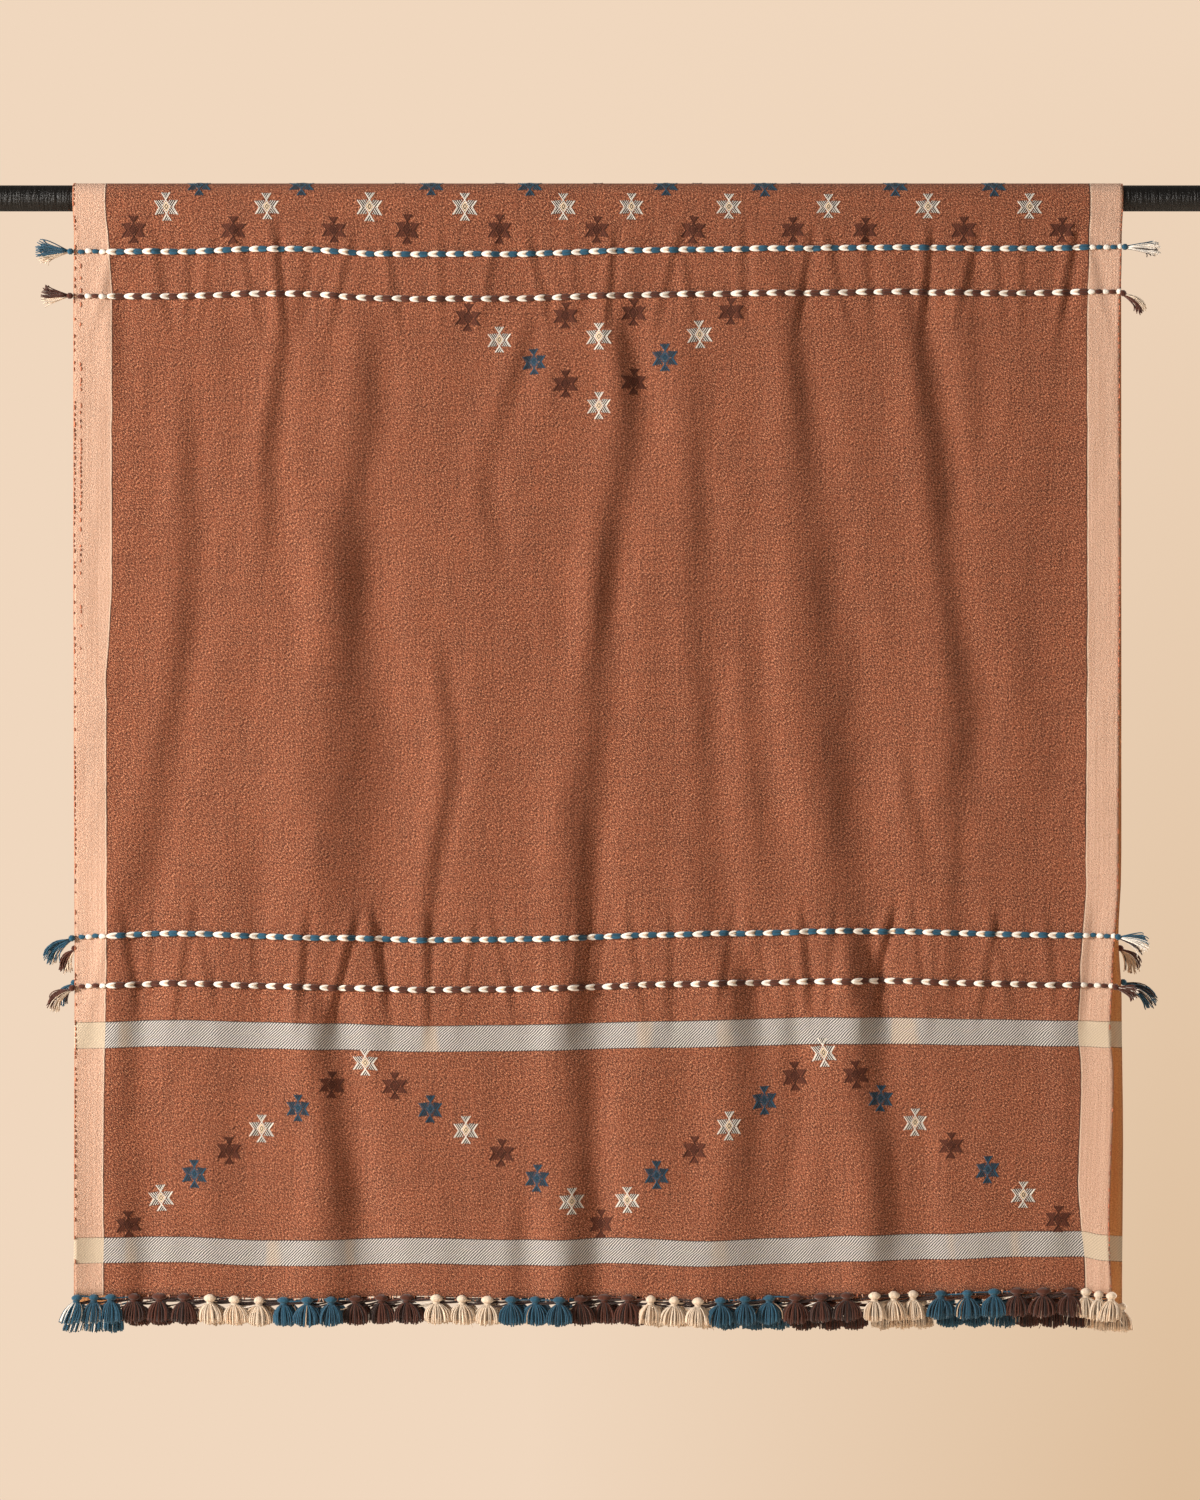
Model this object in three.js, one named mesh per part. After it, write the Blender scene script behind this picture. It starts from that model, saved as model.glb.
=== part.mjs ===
// A handwoven shawl hung over a straight rod, in millimetres, with +Z up.
// The origin is the middle of the rod's axis. +X runs along the rod to the right of someone who
// faces the shawl, and -Y points at that person. The cloth is one sheet: it hangs down the front,
// goes over the rod and hangs down the back. Each fall carries four two-colour twined cords, which
// end in small tassels past the side edges, and a row of tassels in threes along its hem.

import * as THREE from "three";

// The rod.
const ROD_RADIUS = 12.5;
const ROD_LENGTH = 1200;
const ROD_SIDES = 32;
const ROD_CHAMFER = 1;

// The cloth. Depths are measured down from the rod's axis.
const WALL = 1.5; // thickness of the cloth's wall
const GAP = 0.3; // left between solids that touch
const INNER = ROD_RADIUS + GAP; // from the rod's axis to the cloth's inner face
const COLUMNS = 64;
const PLAIN_ROWS = [200, 330, 470, 600, 850, 950];
const TURN_SEGMENTS = 12;
const FOLDS_START = 20; // depth where the cloth leaves the rod's shape
const FOLDS_FULL = 110; // depth where its folds have their full size
const FOLD_FADE = 90; // length over which a fold grows in and dies out

// The twined cords, which lie on the cloth.
const CORD_LIFT = 0.5; // between the cloth and a cord
const CORD_HALF_HEIGHT = 3.3;
const CORD_THICKNESS = 3.2;

// The tassels at the ends of the cords.
const KNOT = { halfWidth: 2.2, halfDepth: 2.2, length: 6, swell: 1.5, neck: 1.1 };
const KNOT_LIFT = CORD_LIFT + CORD_THICKNESS / 2; // from the cloth to the knot's middle
const END_SPREAD_DEPTH = 0.5; // depth of an end tassel's tip, as a share of its spread

// The tassels along the hems, which hang from a narrow heading under the cloth's edge.
const HEADING = { height: 1.6, halfDepth: 1.2, rootHalfWidth: 3, overhang: 4 };
const HEAD = { drop: 4.5, halfWidth: 5, halfDepth: 4.2 };
const NECK = { drop: 10, halfWidth: 3, halfDepth: 2.6 };
const SKIRT = { drop: 27, mostHalfWidth: 9.5, pitchShare: 0.42, halfDepth: 5 };
const LOCKS = 2; // locks that a tassel's skirt is parted into
const LOCK_GAP = 1.2; // between two locks at their tips
const HEXAGON_CORNER = 0.55; // depth of a ring's outer corners, as a share of its half depth

const COLOURS = {
  rust: { color: 0xa8633f, roughness: 0.9 },
  blue: { color: 0x24506b, roughness: 0.9 },
  brown: { color: 0x4a241d, roughness: 0.9 },
  cream: { color: 0xe0cfb4, roughness: 0.9 },
  black: { color: 0x161413, roughness: 0.45 },
};

// How far the weft lines rise above a level line, by place across the cloth.
const WEFT_RISE = [
  { x: -500, rise: 0 },
  { x: -330, rise: 3 },
  { x: -150, rise: -3.5 },
  { x: -60, rise: -3 },
  { x: 110, rise: 0.5 },
  { x: 245, rise: 4 },
  { x: 380, rise: 3 },
  { x: 500, rise: 0.5 },
];

// Each fold bulges out on its left and sinks in on its right. Its line runs from x at depth top to
// footX at depth foot, bowed sideways by bow at half way. Width is half the distance between crest
// and trough, and depth is how far each stands off the flat cloth.
const FRONT_FOLDS = [
  { x: -297, top: 60, footX: -320, foot: 370, bow: 0, width: 12, depth: 2 },
  { x: -395, top: 220, footX: -398, foot: 600, bow: 0, width: 16, depth: 1.8 },
  { x: -230, top: 190, footX: -256, foot: 590, bow: -8, width: 16, depth: 4.5 },
  { x: -214, top: 380, footX: -264, foot: 780, bow: 10, width: 22, depth: 4.2 },
  { x: -262, top: 740, footX: -262, foot: 1200, bow: 0, width: 15, depth: 3.6 },
  { x: -157, top: 400, footX: -127, foot: 640, bow: 0, width: 13, depth: 2.8 },
  { x: -130, top: 560, footX: -170, foot: 760, bow: 0, width: 13, depth: 2.6 },
  { x: 28, top: 150, footX: -9, foot: 760, bow: -12, width: 14, depth: 4 },
  { x: -9, top: 640, footX: 3, foot: 1250, bow: -6, width: 13, depth: 4 },
  { x: -45, top: 680, footX: -38, foot: 1050, bow: 0, width: 18, depth: 2 },
  { x: 122, top: 270, footX: 130, foot: 780, bow: 0, width: 26, depth: 3 },
  { x: 186, top: 70, footX: 240, foot: 760, bow: 0, width: 16, depth: 4.8 },
  { x: 264, top: 670, footX: 278, foot: 1250, bow: 0, width: 13, depth: 5 },
  { x: 303, top: 40, footX: 306, foot: 380, bow: -6, width: 15, depth: 5 },
  { x: 300, top: 230, footX: 350, foot: 700, bow: 0, width: 14, depth: 4.5 },
  { x: 452, top: 60, footX: 465, foot: 210, bow: 0, width: 12, depth: 2.2 },
  { x: 168, top: 780, footX: 156, foot: 1250, bow: 0, width: 26, depth: 3.6 },
  { x: -448, top: 760, footX: -432, foot: 1060, bow: 0, width: 16, depth: 2 },
];
const BACK_FOLDS = [
  { x: 405, top: 70, footX: 380, foot: 620, bow: 8, width: 17, depth: 3.6 },
  { x: 372, top: 560, footX: 384, foot: 1250, bow: -6, width: 16, depth: 3.4 },
  { x: 268, top: 150, footX: 292, foot: 760, bow: 0, width: 15, depth: 4.4 },
  { x: 205, top: 420, footX: 178, foot: 1250, bow: 10, width: 22, depth: 3.8 },
  { x: 96, top: 60, footX: 84, foot: 520, bow: 0, width: 14, depth: 4 },
  { x: 70, top: 430, footX: 98, foot: 1250, bow: -8, width: 15, depth: 4.2 },
  { x: -34, top: 210, footX: -52, foot: 720, bow: 0, width: 24, depth: 3 },
  { x: -140, top: 80, footX: -122, foot: 640, bow: 6, width: 15, depth: 4.6 },
  { x: -118, top: 600, footX: -136, foot: 1250, bow: 0, width: 14, depth: 4 },
  { x: -262, top: 120, footX: -238, foot: 1000, bow: -10, width: 20, depth: 3.4 },
  { x: -352, top: 50, footX: -372, foot: 560, bow: 0, width: 14, depth: 4 },
  { x: -396, top: 480, footX: -380, foot: 1250, bow: 8, width: 16, depth: 3.6 },
  { x: -462, top: 90, footX: -456, foot: 420, bow: 0, width: 12, depth: 2 },
];

// The side edges, by depth.
const FRONT_EDGES = [
  { down: 0, left: -502.6, right: 500.4 },
  { down: 100, left: -495.6, right: 497 },
  { down: 350, left: -495.6, right: 497 },
  { down: 500, left: -499, right: 496.3 },
  { down: 660, left: -500, right: 495.5 },
  { down: 760, left: -500.4, right: 489.5 },
  { down: 1060, left: -500.4, right: 488.5 },
];
const BACK_EDGES = [
  { down: 0, left: -502.6, right: 500.4 },
  { down: 100, left: -506, right: 503.8 },
  { down: 350, left: -506, right: 502.8 },
  { down: 760, left: -502, right: 504.8 },
  { down: 1070, left: -502, right: 504.8 },
];

// The cords, by depth. Each end says where its tassel's tip lies from the cord's end, and the half
// width of the tip.
const FRONT_CORDS = [
  {
    name: "upper_blue",
    down: 52,
    colour: "blue",
    left: { tip: [-33, -2, 4], spread: 9 },
    right: { tip: [37, -2, -3], spread: 7 },
  },
  {
    name: "upper_brown",
    down: 94.5,
    colour: "brown",
    left: { tip: [-26, -2, 5], spread: 6 },
    right: { tip: [22, -3, -20], spread: 5 },
  },
  {
    name: "lower_blue",
    down: 705,
    colour: "blue",
    left: { tip: [-27, -3, -24], spread: 8 },
    right: { tip: [29, -3, -9], spread: 7 },
  },
  {
    name: "lower_brown",
    down: 752.5,
    colour: "brown",
    left: { tip: [-24, -3, -23], spread: 7 },
    right: { tip: [24, -3, -10], spread: 6 },
  },
];
const BACK_CORDS = [
  {
    name: "upper_brown",
    down: 62,
    colour: "brown",
    left: { tip: [-4, 10, -26], spread: 5 },
    right: { tip: [4, 10, -26], spread: 5 },
  },
  {
    name: "upper_blue",
    down: 104,
    colour: "blue",
    left: { tip: [-5, 9, -27], spread: 6 },
    right: { tip: [5, 9, -27], spread: 6 },
  },
  {
    name: "lower_brown",
    down: 715,
    colour: "brown",
    left: { tip: [-12, 4, -26], spread: 6 },
    right: { tip: [17, 4, -20], spread: 7 },
  },
  {
    name: "lower_blue",
    down: 748,
    colour: "blue",
    left: { tip: [-16, 4, -24], spread: 6 },
    right: { tip: [33, 3, -26], spread: 8 },
  },
];

// The hem tassels hang in threes of one colour. A row gives the middle one's place and the
// distance from one tassel to the next.
const THREES = [
  { x: -481.3, pitch: 15.8 },
  { x: -419.6, pitch: 23.9 },
  { x: -347.9, pitch: 23.4 },
  { x: -278.2, pitch: 22.9 },
  { x: -207.9, pitch: 24.4 },
  { x: -130.8, pitch: 24.4 },
  { x: -60.8, pitch: 22.9 },
  { x: 5.1, pitch: 22.9 },
  { x: 71.9, pitch: 22.4 },
  { x: 139.4, pitch: 23.4 },
  { x: 212, pitch: 24.4 },
  { x: 281.4, pitch: 18.6 },
  { x: 351.7, pitch: 25.3 },
  { x: 424, pitch: 25 },
  { x: 476.5, pitch: 12 },
];
const THREE_COLOURS = ["blue", "brown", "cream"];

// The two falls. Side is the way that each faces along Y. Tilt is how far the hem's right end
// rises, and riseShare is the share of the weft's rise that shows.
const FRONT = {
  name: "front",
  side: -1,
  hem: 1048,
  tilt: 3,
  riseShare: 1,
  folds: FRONT_FOLDS,
  edges: FRONT_EDGES,
  cords: FRONT_CORDS,
};
const BACK = {
  name: "back",
  side: 1,
  hem: 1058,
  tilt: 0,
  riseShare: 0.5,
  folds: BACK_FOLDS,
  edges: BACK_EDGES,
  cords: BACK_CORDS,
};

// Goes smoothly from 0 to 1 as value goes from low to high.
function eased(value, low, high) {
  const t = Math.min(1, Math.max(0, (value - low) / (high - low)));
  return t * t * (3 - 2 * t);
}

// Reads column of a table at a place along its key column, smoothly between its rows.
function readTable(table, key, place, column) {
  if (place <= table[0][key]) return table[0][column];
  for (let i = 1; i < table.length; i += 1) {
    const low = table[i - 1];
    const high = table[i];
    if (place <= high[key]) {
      return low[column] + (high[column] - low[column]) * eased(place, low[key], high[key]);
    }
  }
  return table[table.length - 1][column];
}

// How far one fold pushes the cloth out, at x and depth down.
function foldBulge(fold, x, down) {
  const share = (down - fold.top) / (fold.foot - fold.top);
  if (share <= 0 || share >= 1) return 0;
  const line = fold.x + (fold.footX - fold.x) * share + 4 * fold.bow * share * (1 - share);
  const off = (x - line) / fold.width;
  const grown = eased(down, fold.top, fold.top + FOLD_FADE);
  const left = 1 - eased(down, fold.foot - FOLD_FADE, fold.foot);
  return -fold.depth * off * Math.exp((1 - off * off) / 2) * grown * left;
}

// How far all of a fall's folds push the cloth out, at x and depth down.
function bulge(fall, x, down) {
  const all = fall.folds.reduce((sum, fold) => sum + foldBulge(fold, x, down), 0);
  return all * eased(down, FOLDS_START, FOLDS_FULL);
}

// A point of a fall, at a share across from its left edge to its right edge and at a depth on
// the flat cloth, offset out from its inner face.
function clothPoint(fall, across, down, offset) {
  const left = readTable(fall.edges, "down", down, "left");
  const right = readTable(fall.edges, "down", down, "right");
  const x = left + (right - left) * across;
  const rise = readTable(WEFT_RISE, "x", x, "rise") * fall.riseShare;
  const lean = (fall.tilt * x) / right;
  const z = -down + rise * eased(down, 0, FOLDS_START * 2) + lean * (down / fall.hem) ** 2;
  return new THREE.Vector3(x, fall.side * (INNER + bulge(fall, x, down) + offset), z);
}

// Where a fall's hem starts and ends.
function hemEnds(fall) {
  return ["left", "right"].map((edge) => readTable(fall.edges, "down", fall.hem, edge));
}

// The share across a fall's hem of a place x.
function acrossAt(fall, x) {
  const [left, right] = hemEnds(fall);
  return (x - left) / (right - left);
}

// Points and triangles of one closed body, added face by face. The faces all turn one way, and
// geometry() turns them out.
class Skin {
  constructor() {
    this.points = [];
    this.triangles = [];
  }

  add(point) {
    this.points.push(point);
    return this.points.length - 1;
  }

  ring(points) {
    return points.map((point) => this.add(point));
  }

  quad(a, b, c, d) {
    this.triangles.push([a, b, c], [a, c, d]);
  }

  // Joins two rings of as many points each.
  loft(from, to) {
    from.forEach((a, i) => {
      const j = (i + 1) % from.length;
      this.quad(a, from[j], to[j], to[i]);
    });
  }

  geometry() {
    const corner = (i) => this.points[i];
    const volume = this.triangles.reduce(
      (sum, [a, b, c]) => sum + corner(a).dot(corner(b).clone().cross(corner(c))),
      0,
    );
    const order = volume < 0 ? ([a, b, c]) => [a, c, b] : (t) => t;
    const geometry = new THREE.BufferGeometry();
    const positions = this.points.flatMap((point) => point.toArray());
    geometry.setAttribute("position", new THREE.Float32BufferAttribute(positions, 3));
    geometry.setIndex(this.triangles.flatMap(order));
    geometry.computeVertexNormals();
    return geometry;
  }
}

// A closed wall between two grids of points, outer and inner, each a list of columns.
function wallGeometry(outer, inner) {
  const skin = new Skin();
  const out = outer.map((column) => skin.ring(column));
  const back = inner.map((column) => skin.ring(column));
  const lastColumn = out.length - 1;
  const lastRow = out[0].length - 1;
  for (let i = 0; i < lastColumn; i += 1) {
    for (let j = 0; j < lastRow; j += 1) {
      skin.quad(out[i][j], out[i][j + 1], out[i + 1][j + 1], out[i + 1][j]);
      skin.quad(back[i][j], back[i + 1][j], back[i + 1][j + 1], back[i][j + 1]);
    }
    skin.quad(out[i][0], out[i + 1][0], back[i + 1][0], back[i][0]);
    skin.quad(out[i][lastRow], back[i][lastRow], back[i + 1][lastRow], out[i + 1][lastRow]);
  }
  for (let j = 0; j < lastRow; j += 1) {
    skin.quad(out[0][j], back[0][j], back[0][j + 1], out[0][j + 1]);
    skin.quad(
      out[lastColumn][j],
      out[lastColumn][j + 1],
      back[lastColumn][j + 1],
      back[lastColumn][j],
    );
  }
  return skin.geometry();
}

function shares(count) {
  return Array.from({ length: count + 1 }, (_, i) => i / count);
}

// The part of the cloth that hangs down one side of the rod.
function fallGeometry(fall) {
  const rows = [GAP, ...fall.cords.map((cord) => cord.down), ...PLAIN_ROWS, fall.hem];
  rows.sort((a, b) => a - b);
  const grid = (offset) =>
    shares(COLUMNS).map((across) => rows.map((down) => clothPoint(fall, across, down, offset)));
  return wallGeometry(grid(WALL), grid(0));
}

// The part of the cloth that lies over the rod, from one fall's top to the other's.
function turnGeometry() {
  const ends = [FRONT_EDGES[0].left, FRONT_EDGES[0].right];
  const grid = (radius) =>
    ends.map((x) =>
      shares(TURN_SEGMENTS).map((share) => {
        const angle = Math.PI * share;
        return new THREE.Vector3(x, -radius * Math.cos(angle), radius * Math.sin(angle));
      }),
    );
  return wallGeometry(grid(INNER + WALL), grid(INNER));
}

function rodGeometry() {
  const half = ROD_LENGTH / 2;
  const profile = [
    new THREE.Vector2(0, -half),
    new THREE.Vector2(ROD_RADIUS - ROD_CHAMFER, -half),
    new THREE.Vector2(ROD_RADIUS, -half + ROD_CHAMFER),
    new THREE.Vector2(ROD_RADIUS, half - ROD_CHAMFER),
    new THREE.Vector2(ROD_RADIUS - ROD_CHAMFER, half),
    new THREE.Vector2(0, half),
  ];
  return new THREE.LatheGeometry(profile, ROD_SIDES).rotateZ(-Math.PI / 2);
}

// A cord of three sides: two corners near the cloth and a crest that stands off it.
function cordGeometry(fall, cord) {
  const skin = new Skin();
  const sections = shares(COLUMNS).map((across) => {
    const foot = clothPoint(fall, across, cord.down, WALL + CORD_LIFT);
    const crest = clothPoint(fall, across, cord.down, WALL + CORD_LIFT + CORD_THICKNESS);
    const above = foot.clone().setZ(foot.z + CORD_HALF_HEIGHT);
    const below = foot.clone().setZ(foot.z - CORD_HALF_HEIGHT);
    return skin.ring([above, crest, below]);
  });
  for (let i = 1; i < sections.length; i += 1) skin.loft(sections[i - 1], sections[i]);
  const [first, last] = [sections[0], sections[sections.length - 1]];
  skin.triangles.push([first[0], first[2], first[1]], last);
  return skin.geometry();
}

// Places for a tassel's points: origin at its root, and unit vectors along it and across it.
function placer(origin, along, across) {
  const out = across.clone().cross(along);
  return (drop, side, depth) =>
    origin
      .clone()
      .addScaledVector(along, drop)
      .addScaledVector(across, side)
      .addScaledVector(out, depth);
}

// A ring round a tassel: its near points from left to right, then its far points back again. A
// ring has one more point on each side than the tassel has locks.
function tasselRing(place, drop, halfWidth, halfDepth) {
  const sides = shares(LOCKS).map((share) => (2 * share - 1) * halfWidth);
  const depth = (side) => (Math.abs(side) < halfWidth ? 1 : HEXAGON_CORNER) * halfDepth;
  const near = sides.map((side) => place(drop, side, -depth(side)));
  const far = sides.map((side) => place(drop, side, depth(side))).reverse();
  return [...near, ...far];
}

// Parts a tassel's last ring into locks that stand apart at their tips.
function addLocks(skin, neckRing, place, drop, halfWidth, halfDepth) {
  const last = neckRing.length - 1;
  for (let i = 0; i < LOCKS; i += 1) {
    const root = [neckRing[i], neckRing[i + 1], neckRing[last - i - 1], neckRing[last - i]];
    const left = -halfWidth + (2 * halfWidth * i) / LOCKS + (i > 0 ? LOCK_GAP / 2 : 0);
    const right = left + (2 * halfWidth) / LOCKS - LOCK_GAP / 2;
    const tip = skin.ring([
      place(drop, left, -halfDepth),
      place(drop, right, -halfDepth),
      place(drop, right, halfDepth),
      place(drop, left, halfDepth),
    ]);
    skin.loft(root, tip);
    skin.quad(tip[0], tip[1], tip[2], tip[3]);
  }
}

// Three hem tassels in one body: a heading along the hem, and a head, neck and skirt under each
// of three stretches of it.
function threeGeometry(fall, tassels, start, end, pitch) {
  const skin = new Skin();
  const roots = (x) => shares(LOCKS).map((share) => x + (2 * share - 1) * HEADING.rootHalfWidth);
  const stops = [start, ...tassels.flatMap(roots), end];
  const sections = stops.map((x) => {
    const hem = clothPoint(fall, acrossAt(fall, x), fall.hem, WALL / 2);
    const corner = (depth, drop) => new THREE.Vector3(x, hem.y + depth, hem.z - drop);
    return skin.ring([
      corner(-HEADING.halfDepth, GAP),
      corner(HEADING.halfDepth, GAP),
      corner(HEADING.halfDepth, GAP + HEADING.height),
      corner(-HEADING.halfDepth, GAP + HEADING.height),
    ]);
  });
  for (let i = 0; i < sections.length - 1; i += 1) {
    const [a, b] = [sections[i], sections[i + 1]];
    const bare = i % (LOCKS + 1) === 0; // no tassel comes out of this stretch
    skin.quad(a[0], a[1], b[1], b[0]);
    skin.quad(a[1], a[2], b[2], b[1]);
    if (bare) skin.quad(a[2], a[3], b[3], b[2]);
    skin.quad(a[3], a[0], b[0], b[3]);
  }
  const [leftEnd, rightEnd] = [sections[0], sections[sections.length - 1]];
  skin.quad(leftEnd[0], leftEnd[3], leftEnd[2], leftEnd[1]);
  skin.quad(rightEnd[0], rightEnd[1], rightEnd[2], rightEnd[3]);

  const halfWidth = Math.min(SKIRT.mostHalfWidth, pitch * SKIRT.pitchShare);
  tassels.forEach((x, k) => {
    const first = 1 + (LOCKS + 1) * k;
    const under = sections.slice(first, first + LOCKS + 1);
    const rootRing = [...under.map((ring) => ring[3]), ...under.map((ring) => ring[2]).reverse()];
    const hem = clothPoint(fall, acrossAt(fall, x), fall.hem, WALL / 2);
    hem.z -= GAP + HEADING.height;
    const place = placer(hem, new THREE.Vector3(0, 0, -1), new THREE.Vector3(1, 0, 0));
    const headRing = skin.ring(tasselRing(place, HEAD.drop, HEAD.halfWidth, HEAD.halfDepth));
    const neckRing = skin.ring(tasselRing(place, NECK.drop, NECK.halfWidth, NECK.halfDepth));
    skin.loft(rootRing, headRing);
    skin.loft(headRing, neckRing);
    addLocks(skin, neckRing, place, SKIRT.drop, halfWidth, SKIRT.halfDepth);
  });
  return skin.geometry();
}

// The tassel past one end of a cord: a knot and the locks that come out of it.
function endTasselGeometry(fall, cord, end) {
  const { tip, spread } = cord[end];
  const across = end === "left" ? 0 : 1;
  const outward = end === "left" ? -1 : 1;
  const along = new THREE.Vector3(...tip);
  const length = along.length();
  along.normalize();
  const start = clothPoint(fall, across, cord.down, WALL + KNOT_LIFT);
  const capReach = KNOT.halfWidth * Math.abs(along.z);
  const swellReach = KNOT.swell * capReach - (KNOT.length / 2) * Math.abs(along.x);
  start.x += outward * (GAP + Math.max(capReach, swellReach));
  const side = new THREE.Vector3(0, 1, 0).cross(along).normalize();
  const place = placer(start, along, side);
  const skin = new Skin();
  const knotRing = (drop, size) =>
    skin.ring(tasselRing(place, drop, KNOT.halfWidth * size, KNOT.halfDepth * size));
  const cap = knotRing(0, 1);
  const belly = knotRing(KNOT.length / 2, KNOT.swell);
  const neck = knotRing(KNOT.length, KNOT.neck);
  for (let i = 0; i < LOCKS; i += 1) {
    skin.quad(cap[i], cap[cap.length - 1 - i], cap[cap.length - 2 - i], cap[i + 1]);
  }
  skin.loft(cap, belly);
  skin.loft(belly, neck);
  addLocks(skin, neck, place, length, spread, spread * END_SPREAD_DEPTH);
  return skin.geometry();
}

function mesh(name, geometry, colour) {
  const made = new THREE.Mesh(geometry, new THREE.MeshStandardMaterial(COLOURS[colour]));
  made.name = name;
  return made;
}

// A fall's hem tassels, at the same shares of its hem as on the front.
function hemTassels(fall) {
  const [left, right] = hemEnds(fall);
  const rows = THREES.map(({ x, pitch }) =>
    [x - pitch, x, x + pitch].map((place) => left + (right - left) * acrossAt(FRONT, place)),
  );
  return rows.map((tassels, i) => {
    const before = i > 0 ? (rows[i - 1][2] + tassels[0]) / 2 : left - HEADING.overhang;
    const after = i < rows.length - 1 ? (tassels[2] + rows[i + 1][0]) / 2 : right + HEADING.overhang;
    const colour = THREE_COLOURS[i % THREE_COLOURS.length];
    const name = `${fall.name}_hem_tassels_${String(i + 1).padStart(2, "0")}_${colour}`;
    const [start, end] = [before + GAP / 2, after - GAP / 2];
    return mesh(name, threeGeometry(fall, tassels, start, end, THREES[i].pitch), colour);
  });
}

const shawl = new THREE.Group();
shawl.name = "shawl_on_rod";
shawl.add(mesh("rod", rodGeometry(), "black"));
shawl.add(mesh("cloth_over_rod", turnGeometry(), "rust"));
for (const fall of [FRONT, BACK]) {
  const part = new THREE.Group();
  part.add(mesh(`cloth_${fall.name}_fall`, fallGeometry(fall), "rust"));
  for (const cord of fall.cords) {
    const name = `${fall.name}_cord_${cord.name}`;
    part.add(mesh(name, cordGeometry(fall, cord), cord.colour));
    for (const end of ["left", "right"]) {
      part.add(mesh(`${name}_tassel_${end}`, endTasselGeometry(fall, cord, end), cord.colour));
    }
  }
  for (const tassels of hemTassels(fall)) part.add(tassels);
  shawl.add(part);
}

export default shawl;
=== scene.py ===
"""The looks of a handwoven shawl hung over a straight rod, in the frame of its CAD model.

Forms are worked out in millimetres and turned into metres when a mesh is made. Sewn and knotted
form is laid out on the flat cloth, as a place across it, a run along it and a height over it, and
then moved onto the cloth that hangs.
"""

import math
from functools import cache

import bpy
import numpy as np
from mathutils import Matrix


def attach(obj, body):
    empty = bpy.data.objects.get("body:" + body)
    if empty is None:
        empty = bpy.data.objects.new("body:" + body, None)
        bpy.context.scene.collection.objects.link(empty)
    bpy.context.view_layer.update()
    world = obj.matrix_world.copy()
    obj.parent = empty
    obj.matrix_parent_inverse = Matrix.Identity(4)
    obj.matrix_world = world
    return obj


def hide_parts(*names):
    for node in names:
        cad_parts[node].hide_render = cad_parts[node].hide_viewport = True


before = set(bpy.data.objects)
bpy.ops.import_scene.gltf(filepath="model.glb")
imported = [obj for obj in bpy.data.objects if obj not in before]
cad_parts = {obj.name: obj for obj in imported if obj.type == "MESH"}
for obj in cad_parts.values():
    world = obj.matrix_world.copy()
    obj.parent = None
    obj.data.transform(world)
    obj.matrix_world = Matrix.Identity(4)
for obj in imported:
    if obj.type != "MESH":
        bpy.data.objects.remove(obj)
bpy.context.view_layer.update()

MM = 0.001

# The cloth, in mm. Depths are measured down from the rod's axis, and a run is measured along the
# cloth from its ridge, negative down the front and positive down the back.
INNER = 12.8  # from the rod's axis to the cloth's inner face
WALL = 1.5
TURN_HALF = (INNER + WALL) * math.pi / 2
FLAT_WIDTH = 1000
FRONT_HEM = 1048
BACK_HEM = 1058
BORDER = 31
COLUMNS = 290
TURN_ROWS = 24

# Rows of the mesh down each fall, as (from depth, to depth, count).
FRONT_ROWS = [(0, 130, 42), (130, 670, 48), (670, 790, 28), (790, 1048, 28)]
BACK_ROWS = [(0, 130, 26), (130, 690, 34), (690, 780, 12), (780, 1058, 18)]

# How far the weft lines rise above a level line: for each depth, (x, rise) rows.
FRONT_RISES = [
    (60, [
        (-500, 0), (-400, -0.4), (-320, 2.6), (-285, 2.6), (-209, -2.4), (-171, -2.9), (-95, -2.4),
        (20, 0.6), (96, 1.8), (173, 3.2), (250, 3.7), (364, 3), (500, 4),
    ]),
    (740, [
        (-500, -0.5), (-400, 2), (-320, 0), (-247, -1.8), (-171, -4.4), (-95, -3.2), (-18, -1.6),
        (58, 0.8), (135, 2.7), (211, 4.7), (287, 4), (364, 2.3), (440, 0.8), (500, 0),
    ]),
    (990, [
        (-500, 0), (-400, 0.6), (-320, -2.9), (-247, -2.2), (-171, -0.4), (-95, -2.2), (-40, -2.2),
        (20, -0.7), (96, -3.2), (173, -1.2), (250, 2), (326, 3), (402, 5.8), (458, 6), (482, 2.5),
        (500, 1.5),
    ]),
]  # fmt: skip
BACK_RISES = [
    (60, [(-500, 0.5), (-330, 2), (-150, -1.8), (0, -0.5), (240, 2), (500, 0.5)]),
    (990, [
        (-500, -1), (-470, -1), (-440, 5), (-330, 6.5), (-200, 7), (0, 7), (60, 4), (150, 0.5),
        (230, 1.5), (400, 4), (465, 3), (500, -1),
    ]),
]  # fmt: skip

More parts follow.
